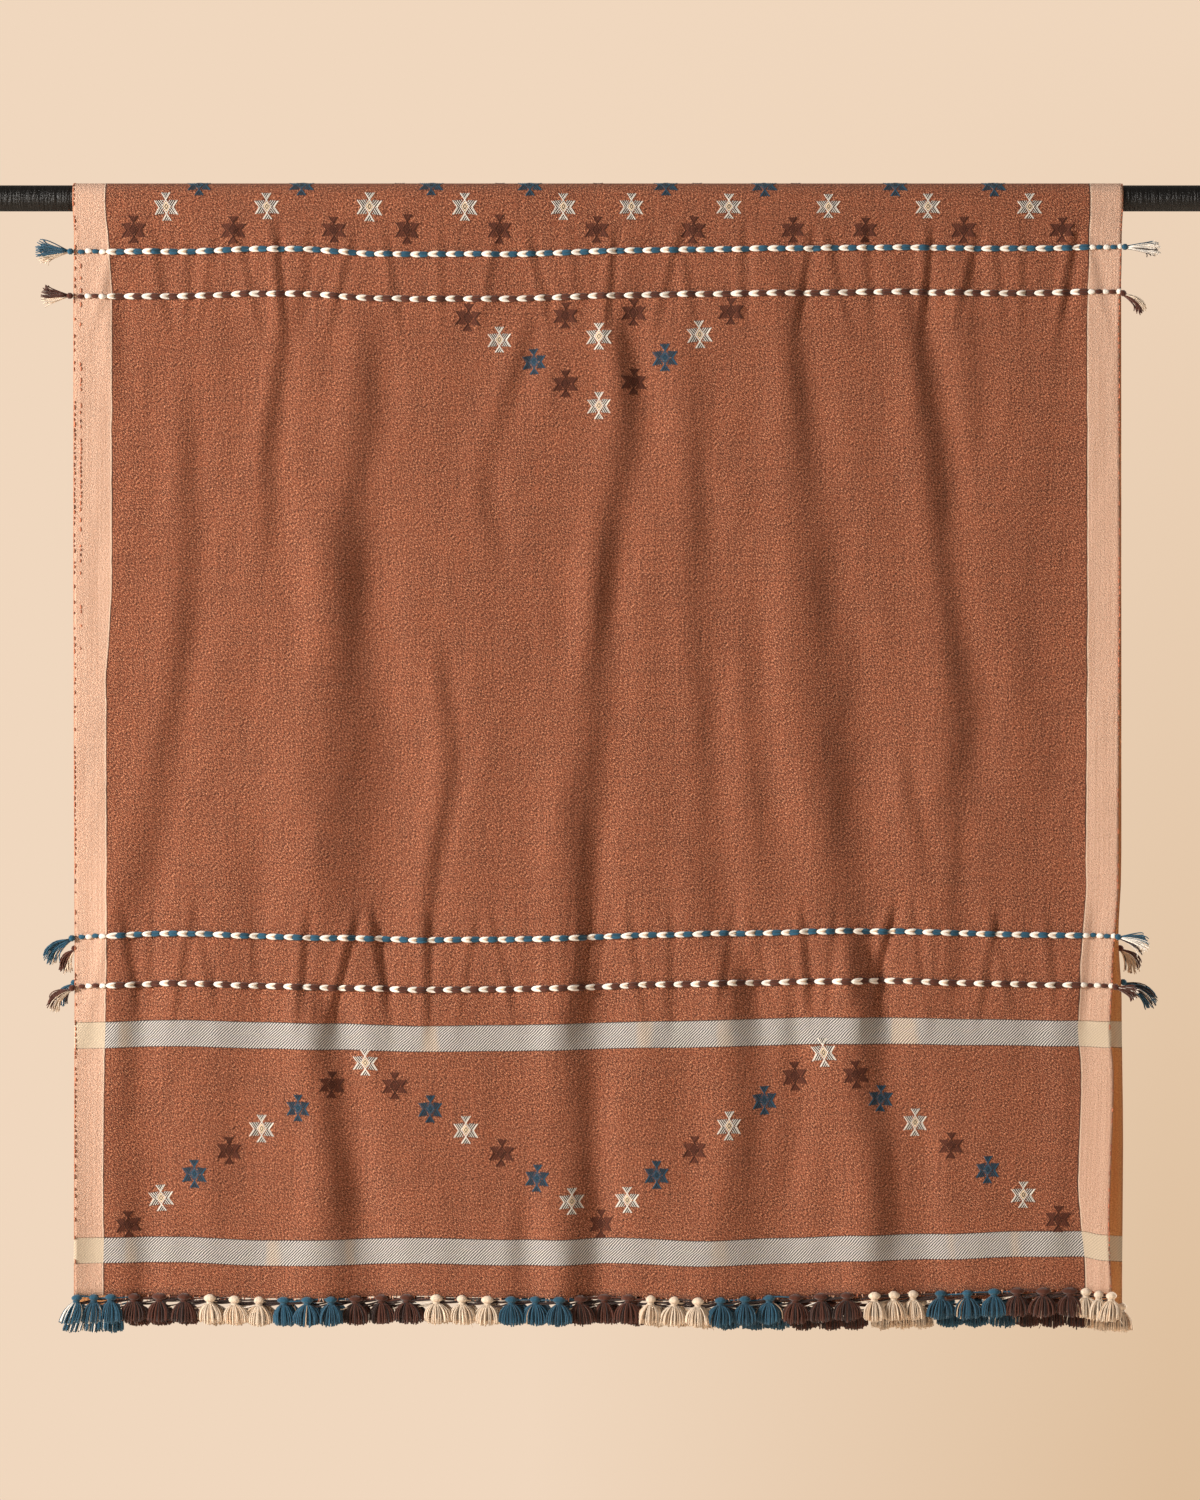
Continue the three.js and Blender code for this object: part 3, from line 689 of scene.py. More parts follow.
def cloth_material(name, border_tones):
    """Rust crepe with borders and woven stripes. The borders' tones are (light, middle, dark)."""
    s = Shader(
        name, Roughness=0.92, Sheen_Weight=0.18, Sheen_Roughness=0.55, Sheen_Tint=(1.0, 0.86, 0.74),
        Specular_IOR_Level=0.2,
    )  # fmt: skip
    tones = {key: linear(colour) for key, colour in CLOTH_TONES.items()}
    places = s.new("SeparateXYZ", (s.new("UVMap", uv_map="flat")[0],))
    across, run = (s.times(places[i], 1 / MM) for i in (0, 1))
    down = s.math("SUBTRACT", s.math("ABSOLUTE", run), TURN_HALF)
    edge = s.math("SUBTRACT", FLAT_WIDTH / 2, s.math("ABSOLUTE", across))

    def stretched(across_scale, length_scale, detail, length=run):
        """Noise drawn out along one way of the flat cloth, by a scale for each way."""
        place = s.point(s.times(across, across_scale), s.times(length, length_scale))
        return s.noise(place, detail=detail)

    # The rust field: streaks along the warp, mottling, weft bands and a crepe grain.
    streak = stretched(0.55, 0.012, 3)
    mottle = s.noise(s.point(across, run), 0.035, 2)
    leaning = s.math("SUBTRACT", across, run)
    falling = s.math("ADD", across, run)
    grain = s.noise(s.point(s.times(leaning, 0.37), s.times(falling, 0.8)), detail=3, roughness=0.62)
    weft = stretched(0.01, 0.3, 3)
    rust = s.mix(s.step(streak, 0.3, 0.7), tones["rust_deep"], tones["rust_bright"])
    rust = s.mix(s.times(s.step(mottle, 0.35, 0.75), 0.6), rust, tones["rust_mottle"])
    rust = s.mix(s.times(s.step(weft, 0.45, 0.66), 0.45), rust, tones["rust_weft"])
    rust = s.mix(s.step(grain, 0.51, 0.39), rust, tones["grain_dark"])
    rust = s.mix(s.step(grain, 0.525, 0.635), rust, tones["grain_light"])

    # The peach borders: soft warp stripes near the selvedge and a fine grain.
    ribs = stretched(0.5, 0.006, 1)
    light, middle, dark = (linear(tone) for tone in border_tones)
    peach = s.mix(s.step(ribs, 0.35, 0.7), middle, s.mix(0.4, middle, dark))
    peach = s.mix(s.times(s.step(grain, 0.5, 0.36), 0.7), peach, dark)
    peach = s.mix(s.times(s.step(grain, 0.53, 0.68), 0.7), peach, light)

    # Where a border ends: narrower where the edge turns in low down, wider where it is folded out.
    waver = s.noise(s.point(0.0, s.times(run, 0.03)), detail=2)
    limit = s.scaled(waver, 2.4, BORDER - 1)
    for end, near, full, change in ((1, -960, -1040, -6), (-1, -700, -940, -3)):
        turned = s.times(s.step(across, 0, end), s.step(run, near, full))
        limit = s.scaled(turned, change, limit)
    folded = s.times(s.step(across, 0, -1), s.between(run, -440, -75, 50))
    limit = s.scaled(folded, 5.6, limit)
    inside = s.math("SUBTRACT", edge, limit)
    field = s.step(inside, -0.4, 0.4)
    colour = s.mix(field, peach, rust)
    colour = s.mix(s.between(inside, -1.2, -0.4, 0.35), colour, tones["border_rim"])
    worn = s.step(s.noise(s.point(0.0, s.times(run, 0.011)), detail=3), 0.35, 0.6)
    line = s.times(s.between(inside, -0.2, 0.9, 0.4), s.scaled(worn, 0.6, 0.4))
    colour = s.mix(line, colour, tones["border_line"])
    colour = s.mix(s.times(s.step(edge, 1.6, 0.3), 0.7), colour, tones["selvedge"])

    # The woven stripes: a crisp grey and white twill that leans one way, with dotted edges.
    lean = s.math("ADD", across, s.times(down, TWILL_LEAN))
    wander = stretched(0.05, 0.11, 2, down)
    lines = s.step(s.wave(s.scaled(wander, 1.2, s.times(lean, 1 / TWILL_PITCH))), 0.42, 0.66)
    patch = stretched(0.028, 0.004, 1, down)
    warm = s.step(patch, 0.6, 0.72)
    light = s.mix(s.times(warm, 0.5), tones["stripe"], tones["stripe_warm"])
    light = s.mix(s.times(s.step(patch, 0.4, 0.3), 0.3), light, tones["stripe_cool"])
    stripe = s.mix(lines, light, s.mix(s.times(warm, 0.3), tones["twill"], tones["twill_warm"]))
    pale = s.mix(s.times(lines, 0.6), tones["stripe_in_border"], tones["twill_in_border"])
    stripe = s.mix(field, pale, stripe)
    dots = s.step(s.wave(s.times(across, 1 / TWILL_PITCH)), 0.25, 0.6)
    woven = 0.0
    for top, foot in STRIPES:
        inside_stripe = s.between(down, top, foot, 0.35)
        woven = s.math("ADD", woven, inside_stripe)
        colour = s.mix(inside_stripe, colour, stripe)
        for line in (top, foot):
            near = s.times(s.between(down, line - 0.5, line + 0.6, 0.3), dots)
            colour = s.mix(s.times(near, s.scaled(field, 0.6, 0.3)), colour, tones["stripe_edge"])

    # Relief: the crepe grain, less of it in the stripes.
    height = s.math("ADD", s.times(grain, 1.7), s.times(stretched(1.3, 1.3, 2), 0.5))
    height = s.math("ADD", height, s.times(streak, 0.25))
    height = s.times(height, s.scaled(woven, -0.7, 1))
    return s.finish(Base_Color=colour, Normal=s.bump(height, 0.0013))


def yarn_material():
    """Wool yarn, in the colour that each point carries."""
    s = Shader(
        "wool_yarn", Roughness=0.88, Sheen_Weight=0.25, Sheen_Roughness=0.5, Specular_IOR_Level=0.2,
    )  # fmt: skip
    tint = s.new("Attribute", attribute_name="yarn")["Color"]
    place = s.new("TexCoord")["Object"]
    hairs = s.noise(place, 1400, 3, 0.6)
    tone = s.noise(place, 160)
    colour = s.mix(s.step(tone, 0.3, 0.75), tint, (1.22, 1.2, 1.18), "MULTIPLY")
    colour = s.mix(s.times(s.step(hairs, 0.52, 0.3), 0.6), colour, (0.55, 0.5, 0.5), "MULTIPLY")
    return s.finish(Base_Color=colour, Normal=s.bump(hairs, 0.0005, 0.7))


def rod_material():
    """Black coated metal, finely wrinkled, with a soft shine."""
    s = Shader("black_rod", Metallic=0.0, Specular_IOR_Level=0.36)
    place = s.new("TexCoord")["Object"]
    split = s.new("SeparateXYZ", (place,))
    squeezed = (s.times(split[i], scale) for i, scale in enumerate((420, 60, 60)))
    rings = s.noise(s.point(*squeezed), detail=3)
    pebbles = s.noise(place, 900)
    colour = s.mix(s.step(rings, 0.35, 0.7), (0.003, 0.0026, 0.0022), (0.007, 0.0058, 0.005))
    height = s.math("ADD", rings, s.times(pebbles, 0.3))
    rough = s.scaled(pebbles, 0.25, 0.26)
    return s.finish(Base_Color=colour, Normal=s.bump(height, 0.0022), Roughness=rough)


CLOTH = cloth_material("handwoven_wool", FACE_BORDER)
# The inner face's material: the same cloth, with painted glow in its borders.
REVERSE_PAINTED_GLOW = cloth_material("handwoven_wool_reverse_painted_glow", REVERSE_BORDER_PAINTED_GLOW)
YARN = yarn_material()


def make_cloth():
    """The whole sheet as one closed shell: a fine outer face and an inner face half as fine."""
    columns, rows = OUTER.shape[:2]
    inner = hang(SHARES[::2, None], RUNS[None, ::2], 0)
    inner_columns, inner_rows = inner.shape[:2]
    first_inner = columns * rows
    points = np.concatenate([OUTER.reshape(-1, 3), inner.reshape(-1, 3)])

    def out(i, j):
        return i * rows + j

    def back(i, j):
        return first_inner + (i // 2) * inner_rows + j // 2

    i, j = np.meshgrid(np.arange(columns - 1), np.arange(rows - 1), indexing="ij")
    corners = [out(i, j), out(i + 1, j), out(i + 1, j + 1), out(i, j + 1)]
    faces = np.stack(corners, axis=-1).reshape(-1, 4).tolist()
    outer_faces = len(faces)
    i, j = np.meshgrid(np.arange(inner_columns - 1), np.arange(inner_rows - 1), indexing="ij")
    i, j = i * 2, j * 2
    corners = [back(i, j), back(i, j + 2), back(i + 2, j + 2), back(i + 2, j)]
    faces += np.stack(corners, axis=-1).reshape(-1, 4).tolist()
    inner_faces = len(faces) - outer_faces
    last_column, last_row = columns - 1, rows - 1
    around = [(i, 0) for i in range(last_column)]
    around += [(last_column, j) for j in range(last_row)]
    around += [(i, last_row) for i in range(last_column, 0, -1)]
    around += [(0, j) for j in range(last_row, 0, -1)]
    for k in range(0, len(around), 2):
        a, b, c = around[k], around[k + 1], around[(k + 2) % len(around)]
        faces.append([out(*b), out(*a), back(*a)])
        faces.append([out(*b), back(*a), back(*c)])
        faces.append([out(*c), out(*b), back(*c)])

    made = make_object("cloth", points, faces, CLOTH)
    # The inner face takes the material with the painted glow in its borders.
    made.data.materials.append(REVERSE_PAINTED_GLOW)
    sides = np.zeros(len(faces), dtype=np.int32)
    sides[outer_faces:outer_faces + inner_faces] = 1
    made.data.polygons.foreach_set("material_index", sides)
    flat = np.zeros((len(points), 2))
    flat[:first_inner, 0] = np.repeat((SHARES - 0.5) * FLAT_WIDTH, rows)
    flat[:first_inner, 1] = np.tile(RUNS, columns)
    flat[first_inner:, 0] = np.repeat((SHARES[::2] - 0.5) * FLAT_WIDTH, inner_rows)
    flat[first_inner:, 1] = np.tile(RUNS[::2], inner_columns)
    layer = made.data.uv_layers.new(name="flat")
    corner_points = np.zeros(len(made.data.loops), dtype=np.int32)
    made.data.loops.foreach_get("vertex_index", corner_points)
    layer.data.foreach_set("uv", (flat[corner_points] * MM).ravel())
    return made


# The star motif, in mm from its middle, with its top up. Each area, as (corners, angle), is hatched
# with threads at that angle over a darker ground, and is mirrored if it starts right of the middle.
HATCH_PITCH = 1.75
MOTIF_DIAMOND = [(0, 6.5), (-4.2, 0), (0, -6.5), (4.2, 0)]
MOTIF_AREAS = [
    ([(4.5, -0.3), (7.0, -0.4), (11.1, 5.4), (2.2, 6.2)], 53),
    ([(4.5, -0.6), (2.2, -6.5), (11.1, -7.2), (7.0, -0.6)], -57),
    ([(0, 7.4), (3.9, 12.7), (-3.9, 12.7)], 57),
    ([(0, -7.4), (-3.9, -12.7), (3.9, -12.7)], 57),
]
MOTIF_LINES = [
    [(-4.3, 12.8), (4.2, 0)],
    [(4.2, 0), (-4.3, -12.8)],
    [(4.3, 12.8), (-4.2, 0)],
    [(-4.2, 0), (4.3, -12.8)],
    [(11.3, 5.6), (7.0, -0.5)],
    [(7.0, -0.5), (11.3, -7.4)],
    [(-11.3, 5.6), (-7.0, -0.5)],
    [(-7.0, -0.5), (-11.3, -7.4)],
]
# The motif's threads: the width, the height of the feet over the cloth and the height of the crest.
MOTIF_THREADS = {
    "ground": (HATCH_PITCH * 1.05, 0.14, 0.2),
    "hatch": (0.7, 0.16, 0.55),
    "heart": (HATCH_PITCH * 1.1, 0.16, 0.46),
    "line": (0.9, 0.2, 0.72),
    "eye": (0.7, 0.3, 0.8),
}
# The motifs' yarns: (lines and hatch, heart, ground and eye, shade).
MOTIF_TONES = {
    "white": ("white", "ivory", "dark", 0.86),
    "blue": ("blue", "blue", "dark", 0.95),
    "brown": ("brown", "brown", "umber", 0.85),
}


def cut_line(corners, middle, direction):
    """Where a line through middle crosses a convex area: its two ends, or None."""
    along, aside = np.array(direction), np.array([-direction[1], direction[0]])
    corners = np.array(corners, float) - middle
    found = []
    for a, b in zip(corners, np.roll(corners, -1, axis=0)):
        low, high = a @ aside, b @ aside
        if (low < 0) != (high < 0):
            found.append((a + (b - a) * (-low / (high - low))) @ along)
    if len(found) < 2:
        return None
    return middle + along * min(found), middle + along * max(found)


def hatch(corners, angle):
    """Parallel threads across an area, at a pitch."""
    turn = math.radians(angle)
    along = np.array([math.cos(turn), math.sin(turn)])
    aside = np.array([-along[1], along[0]])
    reach = [np.array(corner) @ aside for corner in corners]
    steps = np.arange(min(reach) + HATCH_PITCH / 2, max(reach), HATCH_PITCH)
    cuts = [cut_line(corners, aside * step, along) for step in steps]
    return [cut for cut in cuts if cut is not None]


def ridge(start, end, width, low, high):
    """A thread with a crest, in pieces short enough to follow the cloth: points and faces."""
    start, end = np.array(start, float), np.array(end, float)
    length = np.linalg.norm(end - start)
    pieces = max(1, math.ceil(length / 3))
    along = (end - start) / max(length, 1e-6)
    aside = np.array([-along[1], along[0]]) * width / 2
    points, faces = [], []
    for k in range(pieces + 1):
        middle = start + (end - start) * k / pieces
        points += [(*(middle + aside), low), (*middle, high), (*(middle - aside), low)]
        if k:
            a = 3 * k - 3
            faces += [(a, a + 1, a + 4, a + 3), (a + 1, a + 2, a + 5, a + 4)]
    return points, faces


def motif_chart():
    """The threads of one motif, as (points, faces, kind)."""
    threads = []

    def add(start, end, kind):
        threads.append((*ridge(start, end, *MOTIF_THREADS[kind]), kind))

    areas = []
    for corners, angle in MOTIF_AREAS:
        areas.append((corners, angle))
        if corners[0][0] > 0:
            areas.append(([(-x, y) for x, y in reversed(corners)], 180 - angle))
    for corners, angle in areas:
        for start, end in hatch(corners, angle):
            add(start, end, "ground")
            add(start, end, "hatch")
    for start, end in hatch([(x * 0.74, y * 0.74) for x, y in MOTIF_DIAMOND], 57):
        add(start, end, "heart")
    for start, end in MOTIF_LINES:
        add(start, end, "line")
    small = [(x * 0.36, y * 0.36) for x, y in MOTIF_DIAMOND]
    for start, end in zip(small, small[1:] + small[:1]):
        add(start, end, "eye")
    return threads


def make_motifs():
    """The star motifs of both falls, worked in raised threads."""
    random = np.random.default_rng(7)
    chart = motif_chart()
    yarns = Yarns()
    for side, motifs in ((-1, FRONT_MOTIFS), (1, BACK_MOTIFS)):
        for colour, places in motifs.items():
            main, heart, ground, shade = MOTIF_TONES[colour]
            tones = {"line": main, "hatch": main, "heart": heart, "ground": ground, "eye": ground}
            for x, down in places:
                across = across_at(side, x, max(down, 0))
                run = run_at(side, down + float(weft_rise(FALLS[side]["rises"], x, max(down, 0))))
                size = 1 + 0.04 * random.standard_normal(2).clip(-1, 1)
                turn = 0.03 * random.standard_normal()
                for points, faces, kind in chart:
                    flat = np.array(points)
                    a, b = flat[:, 0] * size[0], flat[:, 1] * size[1]
                    flat[:, 0] = across + a * math.cos(turn) - b * math.sin(turn)
                    flat[:, 1] = run + (a * math.sin(turn) + b * math.cos(turn)) * -side
                    if side > 0:
                        faces = [tuple(reversed(face)) for face in faces]
                    yarns.add(flat, faces, yarn(tones[kind], shade * about(random, 0.07)))
    return yarns.build("star_motifs", lay)


# The cords. A repeat is a cream strand of two lobes, open to the right, and a coloured strand.
# On the borders the two strands take turns as beads.
REPEATS = 55
CREAM_LENGTH = 10.6
CREAM_RADII = (1.4, 1.5)  # beside and up
CREAM_PARTING = 2.1
TAN_START = 3.4
TAN_LENGTH = 5.6
COLOUR_START = 7.8
COLOUR_LENGTH = 10.2
COLOUR_ASIDE = 1.3
BEAD = 6.75
BEAD_OVERLAP = 0.7


def spindle(yarns, start, length, run, height, radii, tint, parting=0.0, power=0.6, tip_painted_shade=0.45):
    """A strand that swells from a point: a lobe of a twined cord. parting turns it off sideways. Its two
    ends are darkened as painted shade, where the lobes tuck under their neighbours.
    """
    t = np.linspace(0, 1, 7)
    swell = np.maximum(np.sin(math.pi * t**0.8), 0.02) ** power
    path = np.stack([
        start + length * t,
        run + parting * t**0.8,
        height + 0.25 * np.sin(math.pi * t),
    ], axis=1)  # fmt: skip
    # Painted shade: the strand darkens towards its two ends, where it tucks under the next lobes.
    shade = tip_painted_shade + (1 - tip_painted_shade) * np.clip(np.sin(math.pi * t) * 2.2, 0, 1)
    yarns.tube(path, np.array(radii) * swell[:, None], 8, np.array(tint) * shade[:, None])


def make_cord(name, cord, random):
    """One twined cord from side edge to side edge, laid on the cloth."""
    yarns = Yarns()
    side = cord["side"]
    middle = run_at(side, cord["down"])
    field = FLAT_WIDTH / 2 - BORDER
    for place in np.linspace(-field, field, REPEATS, endpoint=False):
        run = middle + 0.35 * math.sin(place / 37) + 0.12 * random.standard_normal()
        big = about(random, 0.05)
        shade = about(random, 0.05)
        cream = yarn("white", shade)
        radii = (CREAM_RADII[0] * big, CREAM_RADII[1])
        for up in (-1, 1):
            # The cream lobes get lighter painted shade at their ends than the coloured strands.
            spindle(
                yarns, place, CREAM_LENGTH * big, run + up * 0.3, 1.9, radii, cream,
                parting=up * CREAM_PARTING, tip_painted_shade=0.8,
            )  # fmt: skip
        spindle(yarns, place + TAN_START, TAN_LENGTH, run, 1.7, (1.2, 1.0), yarn("tan", shade))
        start = place + COLOUR_START
        for up in (-1, 1):
            tint = yarn(cord["colour"], about(random, 0.12))
            aside = run + up * COLOUR_ASIDE
            spindle(yarns, start, COLOUR_LENGTH, aside, 1.5, (1.6, 1.4), tint, power=0.3)
    for end in (-1, 1):
        for b in range(int(BORDER / BEAD) + 1):
            start = end * (field + b * BEAD) - (BEAD if end < 0 else 0)
            colour, tall = (cord["colour"], 2.3) if b % 2 else ("white", 2.6)
            tint = yarn(colour, about(random, 0.06))
            run = middle + 0.25 * random.standard_normal()
            if abs(start) < FLAT_WIDTH / 2 - 1:
                length = BEAD + BEAD_OVERLAP
                spindle(yarns, start - 0.3, length, run, 1.6, (tall, 1.5), tint, power=0.5)
    made = yarns.build(name + "_twine", lay)
    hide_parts(name)
    return made


def strand(yarns, start, end, sag, radius, tint, random, points=6, bend=1.0, lead=(0, 0, 0)):
    """A yarn from start to end that sets out along lead, droops by sag and wanders a little."""
    start, end = np.asarray(start, float), np.asarray(end, float)
    t = np.linspace(0, 1, points)[:, None]
    length = np.linalg.norm(end - start)
    wander = random.standard_normal(3) * length * 0.03 * bend
    path = start + (end - start) * t + wander * np.sin(math.pi * t)
    path += 2 * t * (1 - t) * (np.asarray(lead, float) - (end - start) / 2)
    path[:, 2] += sag * np.sin(math.pi * t[:, 0] * 0.9)
    yarns.tube(path, radius * (1 - 0.25 * t), 4, tint, (0.13, 0.97, 0.2))


KNOT_LENGTH = 6.4
KNOT_NECK = 5.2
STRAND_YARNS = 3  # for each strand that CORDS counts
END_YARN_RADIUS = 0.62


def make_end_tassels(name, cord, random):
    """The knots and loose strands past the two ends of a cord."""
    for end, outward in (("left", -1), ("right", 1)):
        tip, spread, strands = cord[end]
        yarns = Yarns()
        tip = np.array(tip, float)
        length = np.linalg.norm(tip)
        along = tip / length
        hangs_out = tip[0] * outward > 0
        corner = lay([[outward * FLAT_WIDTH / 2, run_at(cord["side"], cord["down"]), 1.7]])[0]
        start = corner + np.array([outward * (0.6 if hangs_out else -3.5), 0, 0])
        across = np.cross([0, 1, 0], along)
        across /= np.linalg.norm(across)
        depth = np.cross(along, across)
        t = np.linspace(0, 1, 9)
        wound = t * 6 * math.pi
        swell = 1.1 + 2.0 * np.sin(math.pi * t) ** 0.7 + 0.22 * np.cos(wound)
        path = start + along * (t[:, None] * KNOT_LENGTH - 0.6)
        shade = 0.75 + 0.35 * np.sin(wound) ** 2
        tints = np.array(yarn(cord["colour"])) * shade[:, None]
        yarns.tube(path, swell[:, None], 10, tints, (0.1, 0.95, 0.3))
        neck = start + along * KNOT_NECK
        names = [colour for colour, count in strands for _ in range(count * STRAND_YARNS)]
        for k, colour in enumerate(names):
            where = outward * (2 * (k + random.random()) / len(names) - 1)
            where = where + 0.12 * random.standard_normal()
            far = 2 * random.random() - 1
            reach = length * (1 - 0.16 * random.random() - 0.12 * where**2)
            finish = start + along * reach + across * where * spread + depth * far * spread * 0.45
            finish = finish + random.standard_normal(3) * 0.8
            root = neck + across * where * 1.2 + depth * far
            tint = yarn(colour, about(random, 0.1))
            lead = np.array([0.55 * tip[0] + 2 * outward * hangs_out, tip[1] * 0.6, tip[2] * 0.25])
            lead = lead + across * where * spread * 0.6
            sag = 0.7 * random.standard_normal()
            strand(yarns, root, finish, sag, END_YARN_RADIUS, tint, random, 7, 1.1, lead)
        made = yarns.build(f"{name}_strands_{end}")
        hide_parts(f"{name}_tassel_{end}")
        yield made


# The hem tassels, in mm. Depths are below the hem, and mixed is the colour and the share of the
# yarns of another colour in the skirt.
HEADS = {
    "blue": {"half_width": 5.4, "half_height": 3.5, "middle": 1.8, "mixed": ("tan", 0.015)},
    "brown": {"half_width": 6.6, "half_height": 3.7, "middle": 1.8, "mixed": ("dark", 0.3)},
    "cream": {"half_width": 5.3, "half_height": 4.2, "middle": 2.2, "mixed": ("tan", 0.3)},
}
HEAD_RINGS = 9
HEAD_SIDES = 16
SKIRT_DROP = 25.6
SKIRT_DEEP = 4.8  # half its depth at the tips
SKIRT_YARNS = 70
SKIRT_POINTS = 6
SKIRT_YARN_RADIUS = 0.66
LEAST_HALF_WIDTH = 11.2
MOST_HALF_WIDTH = 12.8
CORNER_HALF_WIDTH = 10.5
HEM_SEEDS = {-1: 31, 1: 47}
GOLDEN_ANGLE = 2.399963
NECK = (2.1, 1.9)  # half width and half depth of the skirt where it starts
WRAP = (2.9, 2.5)
# A dark core down the middle of each skirt, a painted shadow among its yarns: its points' depths below the
# neck, and its widths and depths there.
SHADOW_CORE_DOWN = np.array([0, 4, 9, 15])
SHADOW_CORE_WIDE = np.array([1.8, 3.2, 5.2, 6.0])
SHADOW_CORE_DEEP = np.array([1.6, 2.2, 2.8, 2.9])


def add_tassel(yarns, hem, side, colour, half_width, lean, mixed, random):
    """One hem tassel under a point of the hem: a ribbed head, a wrapped neck, a skirt and a dark core in
    the skirt that is a painted shadow.
    """
    head = HEADS[colour]
    shade = about(random, 0.06)
    own = np.array(yarn(colour, shade))
    t = np.linspace(0.04, 0.96, HEAD_RINGS)
    round_off = np.sin(math.pi * t) ** 0.62
    angles = np.arange(HEAD_SIDES) * 2 * math.pi / HEAD_SIDES
    ribbed = round_off[:, None] * (1 + 0.045 * np.cos(angles * HEAD_SIDES / 2))
    centre = hem + np.array([0, side * 1.2, 0])
    top = head["middle"] - head["half_height"]
    down = top + 2 * head["half_height"] * t
    squash = about(random, 0.08)
    rings = np.stack([
        centre[0] + lean * down[:, None] * 0.5 + head["half_width"] * squash * ribbed * np.cos(angles),
        centre[1] + 0.82 * head["half_width"] * ribbed * np.sin(angles),
        np.repeat((centre[2] - down)[:, None], HEAD_SIDES, axis=1),
    ], axis=-1)  # fmt: skip
    faces = [tuple(reversed(face)) for face in tube_faces(HEAD_RINGS, HEAD_SIDES)]
    # Painted shade and highlight: the head's ribs that stand out are lighter, and the grooves between them
    # darker.
    tone = np.where(np.arange(HEAD_SIDES) % 2 == 0, 1.08, 0.86)
    yarns.add(rings.reshape(-1, 3), faces, np.tile(own * tone[:, None], (HEAD_RINGS, 1)))

    neck_down = head["middle"] + head["half_height"] - 0.2
    neck = centre + np.array([lean * neck_down * 0.5, 0, -neck_down])
    turn = np.linspace(0, 4 * math.pi, 22)
    wrap = np.stack([
        neck[0] + WRAP[0] * np.cos(turn),
        neck[1] + WRAP[1] * np.sin(turn),
        neck[2] + 0.9 - 1.9 * turn / (4 * math.pi),
    ], axis=1)  # fmt: skip
    yarns.tube(wrap, 0.62, 5, own * 0.85)

    drop = SKIRT_DROP - neck_down
    t = np.linspace(0, 1, SKIRT_POINTS)
    flare = 1 - (1 - t) ** 3.2
    for k in range(SKIRT_YARNS):
        angle = k * GOLDEN_ANGLE + random.random() * 0.3
        inner = k % 3 == 2
        size = 0.5 if inner else 0.75 + 0.27 * random.random()
        out = half_width * size * abs(math.cos(angle))
        length = math.sqrt(drop**2 - 0.8 * out**2) * about(random, 0.04)
        wide = NECK[0] + (half_width * size - NECK[0]) * flare
        deep = NECK[1] + (SKIRT_DEEP * size - NECK[1]) * flare
        sway = 0.5 * random.standard_normal(2)
        path = np.stack([
            neck[0] + wide * math.cos(angle) + sway[0] * t + lean * drop * t,
            neck[1] + deep * math.sin(angle) + sway[1] * t,
            neck[2] - 0.4 - length * t,
        ], axis=1)  # fmt: skip
        name = mixed[0] if random.random() < mixed[1] else colour
        tint = np.array(yarn(name, shade * about(random, 0.13)))
        # Painted shade: each skirt yarn is darker near the neck, under the head, and lighter towards its
        # tip.
        tints = tint * (0.8 + 0.25 * t[:, None])
        yarns.tube(path, SKIRT_YARN_RADIUS, 4, tints, (0.1, 0.98, 0.15))
    # The dark core in the skirt: painted shadow among the yarns.
    shadow_core = neck + SHADOW_CORE_DOWN[:, None] * np.array([lean, 0, -1])
    radii = np.stack([SHADOW_CORE_WIDE * half_width / CORNER_HALF_WIDTH, SHADOW_CORE_DEEP], axis=1)
    yarns.tube(shadow_core, radii, 10, own * 0.36, (0, 1, 0.01))


